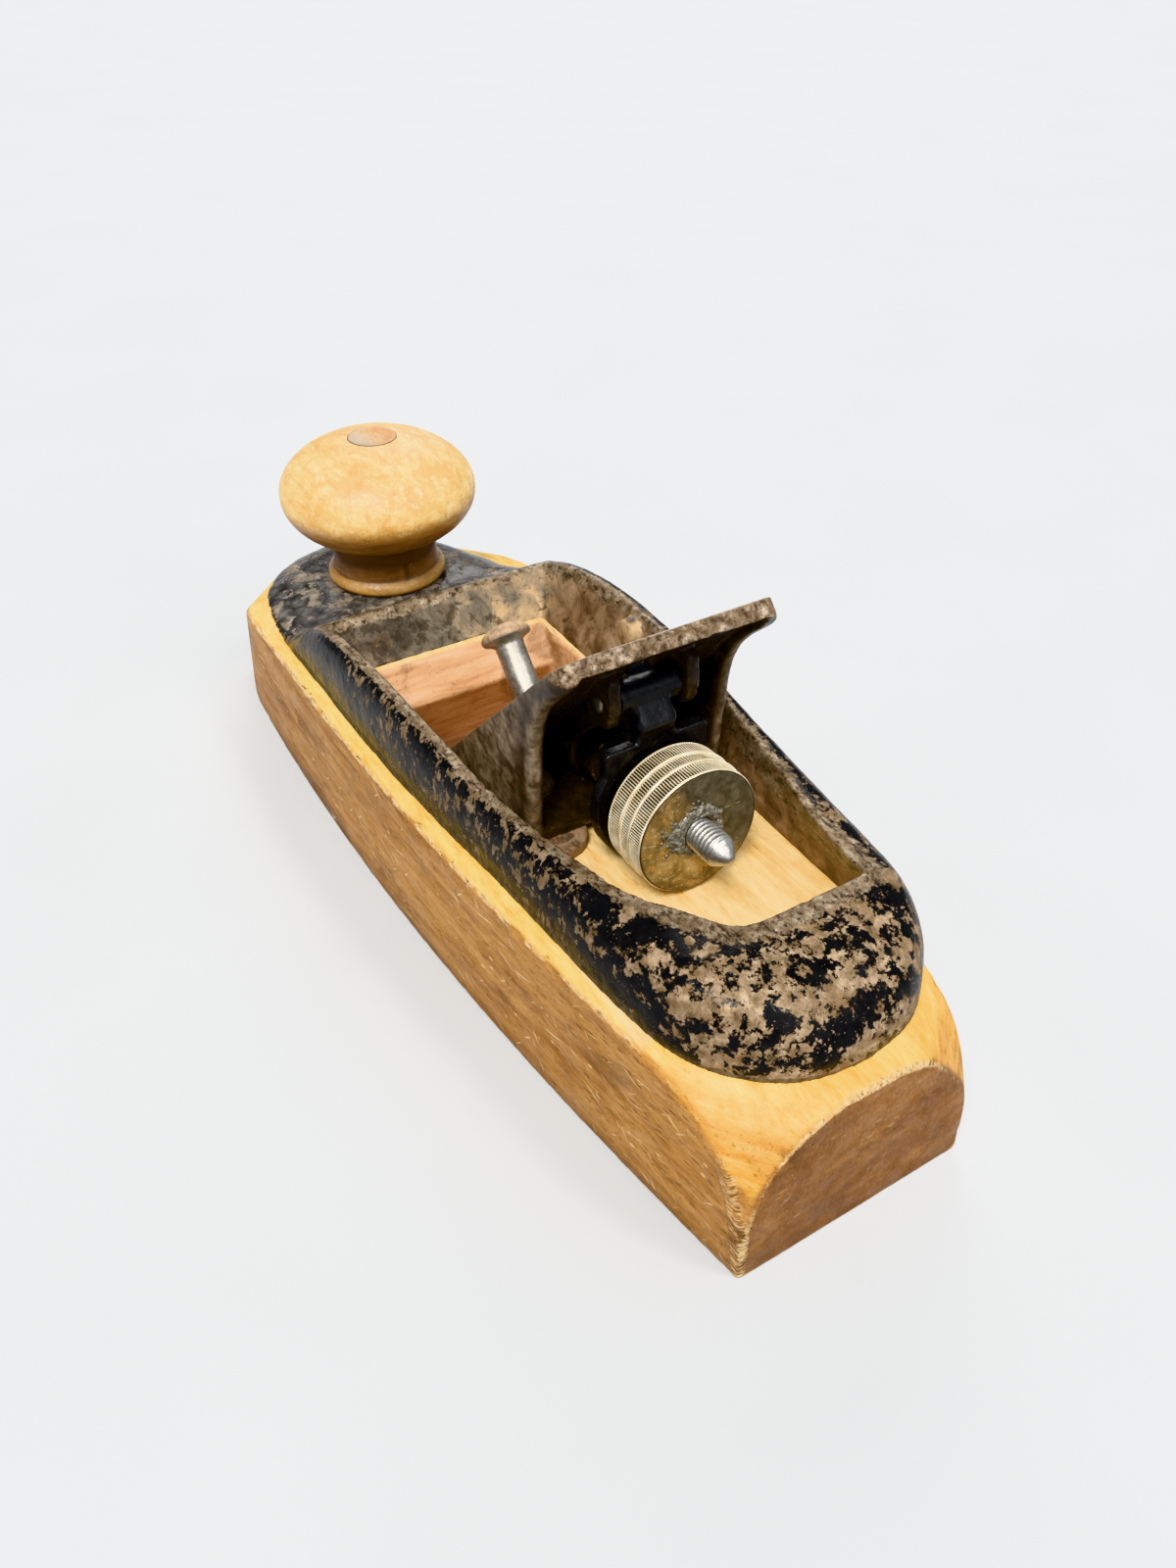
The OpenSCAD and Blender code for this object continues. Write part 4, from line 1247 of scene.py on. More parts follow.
def beech_body():
    m = Paint("beech_body")
    p = m.p
    x, y, z = m.xyz()
    top, end, inner, low = m.attr("top"), m.attr("end"), m.attr("inner"), m.attr("low")
    edge, corner = m.attr("edge"), m.attr("corner")
    # long grain: streaks drawn out along the plane
    wave = m.noise((60, 9, 9), 2, .5, 0, 3.1)
    grain = m.noise((34, 1.5, 1.5), 4, .62, .6)
    fine = m.noise((9, .34, .34), 3, .6, .3, 7)
    flow = m.add(m.mul(wave, .45), m.add(m.mul(grain, .4), m.mul(fine, .35)))
    mott = m.noise((7, 2.4, 2.4), 6, .68, .5, 13)
    side = m.ramp(m.add(m.mul(flow, .72), m.mul(mott, .3)), (.4, (.15, .06, .015)), (.51, (.27, .12, .032)),
                  (.61, (.4, .2, .06)), (.8, (.56, .32, .12)))
    gold = m.ramp(m.add(m.mul(flow, .55), m.mul(mott, .45)), (.38, (.52, .25, .035)), (.48, (.78, .45, .08)),
                  (.56, (.88, .595, .15)), (.7, (.95, .74, .27)))
    bay = m.ramp(m.add(m.mul(flow, .55), m.mul(mott, .45)), (.38, (.5, .27, .085)), (.48, (.72, .45, .16)),
                 (.56, (.83, .58, .25)), (.7, (.93, .74, .4)))
    gold = m.mix(m.attr("bay"), gold, bay)
    # end grain at heel and toe: duller, with growth rings across
    ring = m.noise((30, 26, 1.7), 3, .55, .5, 4)
    endn = m.noise((.6, .42, .9), 3, .65)
    endf = m.add(m.mul(ring, .12), m.add(m.mul(endn, .34), m.mul(m.noise(9, 6, .66, .5), .54)))
    heel = m.ramp(endf, (.38, (.12, .047, .013)), (.48, (.195, .083, .024)), (.56, (.26, .118, .037)),
                  (.68, (.35, .18, .07)))
    haze = m.mul(m.step(m.noise((12, 10, 8), 4, .6, .6, 6), .52, .68), .22)
    heel = m.mix(haze, heel, (.3, .15, .055))
    crack = m.step(m.noise((3, 16, .22), 3, .5, .5, 8), .66, .7)
    heel = m.mix(m.mul(crack, m.step(m.noise(9, 3, .6, 0, 10), .5, .6, 0, .75)), heel, (.07, .025, .008))
    orange = m.ramp(m.noise((7, 7, .8), 5, .66, .5, 5), (.36, (.6, .25, .025)), (.5, (.86, .44, .06)),
                    (.66, (.97, .64, .18)))
    pink = m.ramp(m.noise((2.2, 16, 2.2), 3, .6, .2, 9), (.3, (.42, .215, .1)), (.52, (.6, .355, .19)),
                  (.75, (.72, .48, .3)))
    col = m.mix(top, side, gold)
    col = m.mix(end, col, heel)
    wedge = m.math("MULTIPLY", corner, m.step(m.noise(5, 5, .62), .3, .62, .75, 1.25), True)
    col = m.mix(m.mul(wedge, m.inv(end)), col, orange)
    col = m.mix(inner, col, pink)
    # rays: short dark ticks along the grain, dense on the sides
    tick = m.cells((3.0, .55, .55), "F1", 1.0, 2.0)
    tick2 = m.cells((1.3, .3, .3), "F1", 1.0, 11.0)
    tmask = m.noise((14, 6, 6), 3, .6, 0, 21)
    flecks = m.mul(m.step(tick, .22, .1), m.step(tmask, .42, .56))
    flecks = m.most(flecks, m.mul(m.step(tick2, .17, .07), m.step(tmask, .3, .5, 0, .7)))
    notend = m.inv(m.most(end, m.mul(inner, .6)))
    tick3 = m.cells((5.2, 1.3, 1.3), "F1", 1.0, 15.0)
    flecks = m.most(flecks, m.mul(m.step(tick3, .27, .15), m.step(m.noise((16, 7, 7), 3, .6, 0, 22), .44, .54, 0, .85)))
    flecks = m.mul(flecks, m.mul(notend, m.step(top, 0, 1, .85, .4)))
    col = m.mix(m.mul(flecks, .75), col, (.085, .032, .01))
    # broad dirt stains; the colour is also darker towards the sole and the ends
    stain = m.noise((26, 12, 12), 4, .62, .5, 33)
    col = m.mix(m.mul(m.step(stain, .5, .72), m.step(top, 0, 1, .55, .22)), col, (.1, .045, .018))
    col = m.mix(m.mul(low, .55), col, (.13, .052, .014))
    # spots of dirt, pale specks and short dark cracks
    spot = m.mul(m.step(m.noise((1.5, .9, .9), 5, .7, .3, 35), .6, .66), m.step(top, 0, 1, .5, .22))
    col = m.mix(spot, col, (.07, .026, .008))
    speck = m.mul(m.step(m.cells((1.7, .9, .9), "F1", 1, 37), .13, .08), m.step(m.noise(7, 4, .6, 0, 39), .5, .62))
    big = m.mul(m.step(m.cells((4.6, 2.0, 2.0), "F1", 1, 38), .19, .1), m.step(m.noise(11, 4, .6, 0, 40), .52, .6))
    speck = m.most(speck, m.mul(big, m.mul(m.inv(top), m.inv(m.mul(end, .85)))))
    col = m.mix(m.mul(speck, m.step(inner, 0, 1, .7, 0)), col, (.78, .55, .28))
    # pale scratches at several slants, some long and a few deep
    def scratch(angle, l, w, seed, reach=.17):
        r = m.node("VectorRotate", rotation_type="AXIS_ANGLE")
        m.set(r.inputs["Vector"], p)
        r.inputs["Axis"].default_value = (0, 1, 0)
        r.inputs["Angle"].default_value = angle
        return m.step(m.cells((l, w * 4, w), "F1", 1.0, seed, p=r.outputs[0]), reach, reach * .6)
    s1 = scratch(.42, 15, 1.5, 41)
    s2 = scratch(-.22, 24, 1.6, 47)
    s3 = scratch(.95, 10, 1.5, 53)
    s4 = scratch(-.75, 12, 1.6, 59, .15)
    scr = m.most(m.most(s1, s2), m.most(s3, s4))
    smask = m.step(m.noise(16, 4, .66, 0, 61), .47, .62, .04, .85)
    scr = m.mul(scr, m.mul(smask, m.step(m.most(top, m.mul(end, .85)), 0, 1, 1, .3)))
    scr = m.mul(scr, m.inv(inner))
    col = m.mix(m.mul(scr, .7), col, (.82, .6, .34))
    # rubbed arrises are pale, with dark bruises in them
    # the arris at the heel is bruised into short steps, pale and dark by turns
    slant = m.node("CombineXYZ")
    m.set(slant.inputs[0], x)
    m.set(slant.inputs[1], y)
    m.set(slant.inputs[2], m.sub(z, m.mul(m.attr("far"), .8)))
    ticks = m.noise((1.6, 1.6, .4), 3, .6, .3, 68, p=slant.outputs[0])
    hacked = m.mul(m.attr("hacked"), m.inv(inner))
    worn = m.step(m.add(edge, m.mul(m.sub(m.noise(1.6, 4, .65), .5), .9)), .48, .8)
    col = m.mix(m.mul(worn, m.step(inner, 0, 1, .55, .2)), col, (.8, .56, .27))
    # frayed grey fibres and dark cracks along the side's upper arris
    torn = m.step(m.add(m.mul(edge, .8), m.mul(m.sub(m.noise((3.6, 1.6, 1.6), 6, .7, .4, 73), .5), 1.5)), .5, .62)
    torn = m.mul(torn, m.mul(m.inv(inner), m.inv(m.attr("low"))))
    fibre = m.ramp(m.noise((3.2, .5, .5), 4, .66, .3, 75), (.36, (.12, .06, .025)), (.48, (.42, .28, .13)),
                   (.62, (.72, .56, .33)))
    col = m.mix(m.mul(torn, .8), col, fibre)
    fray = m.step(m.add(hacked, m.mul(m.sub(m.noise(2.2, 4, .65, 0, 69), .5), 1.2)), .3, .7)
    col = m.mix(m.mul(m.step(ticks, .5, .58), m.mul(fray, .75)), col, (.66, .46, .24))
    col = m.mix(m.mul(m.step(ticks, .46, .4), m.mul(fray, .7)), col, (.15, .07, .022))
    bruise = m.mul(m.step(m.noise((3.4, 1.6, 1.6), 3, .6, .5, 71), .62, .68), m.step(edge, .1, .5))
    col = m.mix(m.mul(bruise, .75), col, (.11, .045, .015))
    pore = m.noise((1.2, .12, .12), 2, .5, 0, 81)
    h = m.add(m.mul(fine, .12), m.mul(grain, .1))
    h = m.sub(h, m.add(m.mul(flecks, .09), m.mul(scr, .07)))
    h = m.sub(h, m.add(m.mul(bruise, .12), m.mul(m.step(pore, .6, .7), .035)))
    h = m.add(h, m.mul(m.noise(2.4, 4, .6, 0, 91), .16))
    h = m.add(h, m.mul(m.mul(ticks, fray), .6))
    nrm = m.bump(h, .8)
    rough = m.step(m.noise((9, 4, 4), 4, .6, 0, 95), .3, .7, .4, .66)
    rough = m.math("ADD", rough, m.mul(m.most(scr, worn), .14), True)
    return m.finish(col, rough, 0, nrm, .2)


def chipped(name, base_wear, gloss=.2, spec=.14):
    """Black japanning over iron that shows rusty tan where it has flaked."""
    m = Paint(name)
    wear, edge, wall = m.attr("wear"), m.attr("edge"), m.attr("wall")
    # ragged flakes: a broad field broken up by finer and finer noise
    field = m.noise(6.4, 8, .62, .35, 1.3)
    small = m.noise(2.1, 6, .7, .3, 4.4)
    tiny = m.noise(.85, 4, .7, .2, 7.7)
    deck = m.attr("deck")
    # smaller upright flakes along the sides, softer patches on the toe deck
    flake = m.add(m.mul(m.noise((1.5, 1.5, 2.9), 5, .66, .3, 6), .66), m.mul(field, .34))
    v = m.mix(m.attr("flank"), m.add(m.mul(field, .52), m.add(m.mul(small, .34), m.mul(tiny, .14))), flake)
    v = m.mix(deck, v, m.add(m.mul(m.noise(6.5, 7, .62, .3, 9), .75), m.mul(small, .25)))
    v = m.add(v, m.add(m.mul(m.sub(wear, 1.0), .105), m.mul(edge, .075)))
    lim = .5 - base_wear
    chip = m.step(v, lim - .004, lim + .006)
    rim = m.sub(m.step(v, lim - .014, lim - .002), chip)
    specks = m.step(m.cells(.8, "F1", 1, 3), .2, .13)
    specks = m.mul(specks, m.step(m.noise(4, 3, .6, 0, 31), .5, .6))
    specks = m.mul(specks, m.step(wear, 0, .6, .2, 1))
    chip = m.most(chip, m.mul(specks, .9))
    # bare iron: tan rust film, browner and greyer patches, dark pits
    r1 = m.noise(2.6, 6, .66, .4, 12)
    tan = m.ramp(r1, (.32, (.085, .054, .028)), (.43, (.165, .114, .064)), (.54, (.255, .182, .114)),
                 (.66, (.37, .284, .19)), (.82, (.27, .2, .135)))
    tan = m.mix(m.mul(m.step(m.noise(4.5, 5, .65, .5, 14), .5, .66), .55), tan, (.2, .112, .055))
    tan = m.mix(m.mul(m.step(m.noise(.9, 5, .7, 0, 17), .56, .66), .7), tan, (.15, .085, .045))
    tan = m.mix(m.mul(m.step(m.noise(.42, 3, .6, 0, 19), .62, .7), .6), tan, (.06, .036, .02))
    # on the toe deck the bare iron is grey: partly grey bare iron, partly painted sheen
    deck_grey_and_sheen = m.ramp(m.noise(2.2, 6, .66, 0, 21), (.34, (.1, .084, .066)), (.5, (.2, .172, .136)),
                 (.68, (.33, .29, .236)))
    tan = m.mix(m.mul(deck, .85), tan, deck_grey_and_sheen)
    tan = m.mix(m.mul(m.attr("flank"), .4), tan, (.085, .064, .042))
    dull = m.attr("dull")
    band = m.step(m.add(dull, m.mul(m.sub(m.noise(2.4, 5, .65, 0, 22), .5), 1.1)), .45, .7)
    chip = m.mul(chip, m.inv(m.mul(band, .65)))
    # walls inside: thin grey-brown film over worn black
    w1 = m.noise(5.5, 6, .62, .6, 23)
    film = m.ramp(w1, (.3, (.07, .042, .024)), (.45, (.15, .094, .055)), (.58, (.25, .165, .1)),
                  (.74, (.36, .25, .155)))
    sooty = m.attr("sooty")
    damc = m.ramp(m.add(m.mul(sooty, .3), m.noise(6, 7, .66, .5, 26)), (.42, (.42, .29, .16)),
                  (.54, (.27, .2, .125)), (.66, (.15, .125, .09)), (.82, (.06, .05, .037)))
    film = m.mix(m.mul(m.attr("dam"), m.step(m.noise(9, 5, .62, .4, 24), .3, .5)), film, damc)
    black = m.ramp(m.noise(2.6, 5, .6, .2, 27), (.3, (.006, .006, .0065)), (.6, (.012, .012, .0125)),
                   (.8, (.03, .028, .026)))
    dark = m.ramp(m.noise(1.3, 5, .66, 0, 29), (.32, (.024, .018, .012)), (.52, (.066, .052, .036)),
                  (.72, (.17, .14, .1)))
    black = m.mix(m.mul(band, .8), black, dark)
    # the toe deck's black is greyed and lightened: painted sheen on its upward faces
    deck_sheen_black = m.ramp(m.noise(3.4, 6, .66, .4, 28), (.34, (.022, .021, .02)), (.5, (.06, .057, .053)),
                    (.66, (.15, .14, .128)))
    black = m.mix(m.mul(deck, .9), black, deck_sheen_black)
    col = m.mix(chip, black, tan)
    col = m.mix(m.mul(rim, .3), col, (.09, .065, .045))
    # the walls keep islands of black under the film, dense towards the toe
    isle = m.step(m.add(m.noise(3.4, 8, .7, .5, 33), m.mul(sooty, .1)), .57, .64)
    film = m.mix(m.mul(isle, .7), film, (.035, .026, .018))
    film = m.mix(m.mul(m.step(m.noise(1.1, 5, .7, 0, 34), .54, .66), .4), film, (.06, .04, .025))
    col = m.mix(wall, col, film)
    rub = m.attr("rub")
    pol = m.ramp(m.noise(2.6, 5, .66, .3, 35), (.32, (.1, .066, .038)), (.5, (.2, .145, .092)),
                 (.68, (.36, .29, .205)))
    pol = m.mix(m.mul(m.step(m.noise(.8, 5, .7, 0, 36), .55, .62), .85), pol, (.028, .019, .012))
    pol = m.mix(m.mul(m.step(m.noise((3.4, 1.6, 1.6), 6, .7, .3, 38), .54, .6), .8), pol, (.018, .015, .012))
    polish = m.step(m.add(rub, m.mul(m.sub(m.noise(2.0, 7, .68, .3, 37), .5), 1.1)), .46, .56)
    col = m.mix(polish, col, pol)
    bare = m.most(m.most(chip, wall), polish)
    h = m.sub(m.mul(m.noise(.6, 4, .6, 0, 41), m.add(.04, m.mul(bare, .07))), m.mul(chip, m.mul(m.inv(wall), .17)))
    h = m.add(h, m.mul(m.noise(1.7, 3, .5, 0, 43), .1))
    h = m.sub(h, m.mul(m.step(m.noise(.42, 3, .6, 0, 19), .62, .7), m.mul(bare, .05)))
    nrm = m.bump(h, 1.0)
    rough = m.mix(bare, m.mix(band, gloss, .55), m.mix(polish, .62, .42))
    rough = m.math("ADD", rough, m.mul(m.sub(m.noise(1.4, 4, .6, 0, 47), .5), .18), True)
    metal = m.most(m.mul(bare, .15), m.mul(polish, .3))
    return m.finish(col, rough, metal, nrm, spec)


def japanned_frog():
    m = Paint("japanned_frog")
    edge, lip, bed = m.attr("edge"), m.attr("lip"), m.attr("bed")
    v = m.add(m.noise(4.5, 8, .68, .5, 2), m.mul(edge, .3))
    chip = m.mul(m.step(v, .8, .83), .9)
    tan = m.ramp(m.noise(1.1, 5, .7, .3, 5), (.3, (.1, .06, .035)), (.5, (.28, .2, .13)),
                 (.65, (.45, .35, .24)), (.8, (.33, .25, .17)))
    black = m.ramp(m.noise(3, 5, .6, .2, 7), (.3, (.009, .0055, .003)), (.55, (.022, .014, .0085)),
                   (.75, (.055, .036, .021)))
    col = m.mix(chip, black, tan)
    lipc = m.ramp(m.noise(2.4, 6, .68, .4, 9), (.34, (.045, .027, .015)), (.44, (.13, .084, .048)),
                  (.54, (.23, .165, .105)), (.66, (.41, .335, .25)), (.8, (.24, .17, .11)))
    lipc = m.mix(m.mul(m.step(m.noise((2.2, 3.4, 2.2), 6, .7, .4, 11), .52, .6), .6), lipc, (.05, .03, .017))
    lipc = m.mix(m.mul(m.step(m.noise(.8, 5, .7, 0, 10), .55, .62), .8), lipc, (.025, .015, .009))
    rust = m.ramp(m.noise(3.4, 7, .68, .4, 12), (.34, (.035, .024, .015)), (.46, (.11, .08, .052)),
                  (.58, (.22, .168, .112)), (.72, (.33, .26, .18)))
    rust = m.mix(m.mul(m.step(m.noise(1.6, 5, .66, .3, 16), .6, .68), .7), rust, (.24, .1, .03))
    col = m.mix(m.mul(m.attr("cheek"), .9), col, rust)
    lmask = m.step(m.add(lip, m.mul(m.sub(m.noise(1.3, 5, .7, 0, 13), .5), .7)), .38, .62)
    col = m.mix(lmask, col, lipc)
    # machined bed face: fine straight cuts across, dull grey-brown
    u, y, w = m.xyz()
    cuts = m.noise((.35, 30, .35), 2, .5, 0, 15)
    face = m.ramp(m.add(m.mul(cuts, .5), m.mul(m.noise(6, 5, .65, .4, 19), .5)), (.3, (.16, .13, .1)),
                  (.5, (.33, .29, .235)), (.7, (.5, .45, .37)))
    col = m.mix(bed, col, face)
    bare = m.most(m.most(chip, lmask), bed)
    h = m.sub(m.mul(m.noise(.8, 4, .6, 0, 21), .09), m.mul(m.mul(chip, m.inv(bed)), .13))
    h = m.sub(h, m.mul(m.mul(m.step(m.noise(.7, 4, .65, 0, 25), .6, .7), lmask), .14))
    h = m.add(h, m.mul(m.mul(cuts, bed), .05))
    nrm = m.bump(h, 1.0)
    rough = m.mix(m.most(bare, m.attr("cheek")), .24, .55)
    rough = m.math("ADD", rough, m.mul(m.sub(m.noise(1.4, 4, .6, 0, 27), .5), .16), True)
    return m.finish(col, rough, m.mul(bare, .3), nrm, .3)


def beech_knob():
    m = Paint("beech_knob")
    x, y, z = m.xyz()
    up = m.attr("up")
    flow = m.add(m.mul(m.noise((26, 3.2, 3.2), 4, .6, .5, 3), .6), m.mul(m.noise((7, .5, .5), 3, .6, .2, 5), .4))
    pale = m.ramp(flow, (.34, (.54, .3, .085)), (.47, (.72, .46, .155)), (.58, (.84, .6, .235)),
                  (.74, (.95, .76, .38)))
    cloud = m.noise(7, 6, .66, .7, 9)
    pale = m.mix(m.mul(m.step(cloud, .47, .6), .55), pale, (.58, .31, .09))
    pale = m.mix(m.mul(m.step(m.noise(4, 5, .66, .5, 12), .55, .66), .35), pale, (.45, .23, .07))
    pale = m.mix(m.mul(m.step(m.noise(2.2, 5, .66, .3, 14), .55, .64), .35), pale, (.97, .82, .5))
    # the neck and the ball's underside take this darker brown as painted shade under the ball; the upward faces stay
    # pale
    neck_and_underside_shade = m.ramp(m.noise((5, 5, 1.2), 4, .6, .3, 15), (.3, (.19, .075, .02)), (.6, (.34, .15, .045)),
                  (.8, (.46, .24, .08)))
    col = m.mix(up, neck_and_underside_shade, pale)
    fleck = m.mul(m.step(m.cells((1.7, .34, .34), "F1", 1, 4), .17, .07), m.step(m.noise(7, 3, .6, 0, 18), .45, .6))
    col = m.mix(m.mul(fleck, .38), col, (.25, .11, .035))
    scr = m.step(m.noise((.16, 9, 3), 2, .5, .2, 21), .7, .74)
    col = m.mix(m.mul(scr, .3), col, (.95, .8, .52))
    dirt = m.step(m.noise((3, 3, 2), 6, .72, .5, 25), .56, .66)
    col = m.mix(m.mul(dirt, .3), col, (.3, .15, .05))
    pit = m.step(m.noise(.7, 4, .7, 0, 27), .62, .68)
    col = m.mix(m.mul(pit, m.step(m.noise(8, 4, .6, 0, 29), .42, .6, .1, .5)), col, (.22, .1, .03))
    # tiny pale bruises
    dab = m.mul(m.step(m.cells((1.6, 1.6, .7), "F1", 1, 33), .2, .1), m.step(m.noise(7, 4, .62, 0, 36), .46, .58))
    col = m.mix(m.mul(dab, .45), col, (.97, .82, .5))
    groove = m.attr("edge")
    col = m.mix(m.mul(m.step(groove, -.02, -.12), .75), col, (.05, .02, .008))
    h = m.sub(m.mul(m.noise((9, .4, .4), 3, .6, 0, 31), .1), m.mul(m.add(fleck, scr), .05))
    h = m.add(h, m.mul(m.noise(3, 4, .6, 0, 35), .14))
    nrm = m.bump(h, .7)
    rough = m.step(m.noise(6, 4, .6, 0, 37), .3, .7, .3, .52)
    return m.finish(col, rough, 0, nrm, .45)


def beech_plug():
    m = Paint("beech_plug")
    x, y, z = m.xyz()
    n = m.noise((3.5, .5, 3), 4, .62, .4, 3)
    col = m.ramp(n, (.3, (.24, .12, .045)), (.5, (.42, .25, .105)), (.7, (.6, .4, .18)))
    grey = m.step(m.add(m.mul(y, .09), m.noise(3, 3, .6, 0, 7)), .45, .8)
    col = m.mix(m.mul(grey, .75), col, (.26, .22, .165))
    red = m.step(m.add(m.mul(y, -.09), m.noise(3, 3, .6, 0, 9)), .5, .85)
    col = m.mix(m.mul(red, .55), col, (.44, .2, .085))
    col = m.mix(m.mul(m.attr("ring"), .75), col, (.13, .065, .025))
    nrm = m.bump(m.mul(m.noise(.7, 4, .6, 0, 11), .12), 1)
    return m.finish(col, m.step(n, .3, .7, .35, .6), 0, nrm, .4)


def brass_wheel():
    m = Paint("brass_wheel")
    c = m.vec("SUBTRACT", m.p, (-62.3, 0, 50.95))
    face, groove = m.attr("face"), m.attr("groove")
    n1 = m.noise(5, 5, .62, .6, 3)
    pale = m.ramp(m.noise(2.4, 5, .62, .3, 5), (.3, (.76, .62, .38)), (.5, (.93, .81, .57)),
                  (.7, (1, .92, .72)))
    dirt = m.step(m.add(groove, m.mul(m.sub(m.noise(1.4, 4, .6, 0, 9), .5), .5)), .28, .6)
    rim = m.mix(dirt, pale, (.035, .021, .009))
    gold = m.ramp(n1, (.3, (.075, .045, .016)), (.45, (.19, .122, .046)), (.58, (.33, .222, .09)),
                  (.76, (.58, .42, .19)))
    gold = m.mix(m.mul(m.step(m.noise(.8, 5, .7, 0, 13), .56, .66), .6), gold, (.66, .55, .34))
    # tarnish lies over the face's upper right part
    x, y, z = m.xyz(c)
    place = m.add(m.mul(y, -.075), m.mul(z, .055))
    zone = m.step(m.add(place, m.mul(m.sub(m.noise(4.5, 5, .62, .5, 17), .5), .9)), .12, .42)
    olive = m.ramp(m.noise(2.2, 5, .66, .4, 19), (.3, (.04, .032, .018)), (.5, (.085, .072, .045)),
                   (.7, (.15, .125, .08)))
    amber = m.step(m.noise(1.7, 6, .7, .4, 21), .55, .66)
    below = m.step(m.add(place, m.mul(m.noise(3.4, 4, .6, .4, 20), .5)), .3, .05, .3, 1)
    gold = m.mix(m.mul(amber, m.mul(below, .85)), gold, (.52, .24, .045))
    facec = m.mix(zone, gold, olive)
    scr = m.step(m.noise((.12, 7, 2.2), 2, .5, .2, 23), .69, .73)
    facec = m.mix(m.mul(scr, .35), facec, (.72, .6, .38))
    col = m.mix(face, rim, facec)
    h = m.mul(m.noise(.5, 4, .6, 0, 25), m.add(.03, m.mul(face, .1)))
    nrm = m.bump(h, 1)
    rough = m.mix(m.most(dirt, m.mul(face, .8)), .34, .58)
    metal = m.mix(m.most(m.mul(dirt, .9), m.mul(face, .55)), .6, .2)
    return m.finish(col, rough, metal, nrm, .5)


def iron_plain(name, dark, mid, light, metal=.8, rough=.4, seed=0, rust=.0, rustc=(.3, .15, .06),
               head=None, grain=1.0):
    m = Paint(name)
    n = m.add(m.mul(m.noise(2.6 * grain, 5, .65, .4, 3 + seed), .6),
              m.mul(m.noise(.5 * grain, 4, .6, 0, 5 + seed), .4))
    col = m.ramp(n, (.32, dark), (.5, mid), (.7, light))
    spots = m.step(m.noise(1.3, 6, .72, .3, 9 + seed), .66 - rust, .72 - rust)
    col = m.mix(m.mul(spots, .8), col, rustc)
    if head is not None:
        cap = m.step(m.add(m.attr("head"), m.mul(m.sub(m.noise(1.4, 5, .66, 0, 8), .5), .9)), .4, .7)
        brown = m.ramp(m.noise(1.8, 6, .68, .3, 10), (.34, tuple(.45 * c for c in head)), (.52, head),
                       (.7, tuple(min(1.5 * c, 1) for c in head)))
        col = m.mix(m.mul(cap, .85), col, brown)
        spots = m.most(spots, m.mul(cap, .8))
    h = m.sub(m.mul(m.noise(.45, 4, .6, 0, 11 + seed), .05), m.mul(spots, .03))
    nrm = m.bump(h, 1)
    r = m.math("ADD", m.mix(spots, rough, .7), m.mul(m.sub(n, .5), .2), True)
    return m.finish(col, r, m.mul(m.inv(m.mul(spots, .8)), metal), nrm, .5)


# --------------------------------------------------------------- assembly

def mark_body(ob):
    co, nn, e = points(ob), normals(ob), links(ob)
    ns = averaged(nn, e, 5)
    x, y, z = co.T
    inside = (np.abs(y) < 22.9) & (x > -13) & (x < 43) & (z > .3) & (z < 36.85)
    inner = averaged(inside.astype(float), e, 1)
    top = step(.62, .86, ns[:, 2]) * (1 - inner)
    end = step(.6, .8, np.abs(ns[:, 0])) * step(90, 104, np.abs(x)) * (1 - inner)
    corner = step(.14, .3, ns[:, 2]) * np.clip((-84 - x) / 12, 0, 1) * np.clip((40 - z) / 22, 0, 1)
    attribute(ob, "top", top)
    attribute(ob, "inner", inner)
    attribute(ob, "end", averaged(end, e, 2))
    attribute(ob, "corner", averaged(corner, e, 2))
    attribute(ob, "low", step(9, 0, z))
    attribute(ob, "bay", averaged(((np.abs(y) < 29) & (x > -88) & (x < 48) & (z > 36)).astype(float), e, 2))
    hack, far = hacked_at(co)
    attribute(ob, "hacked", hack)
    attribute(ob, "far", far)
    attribute(ob, "edge", np.clip(averaged(step(.03, .3, edges_of(ob, 14)), e, 2) * (1 - .6 * inner), 0, 1))
    return ob


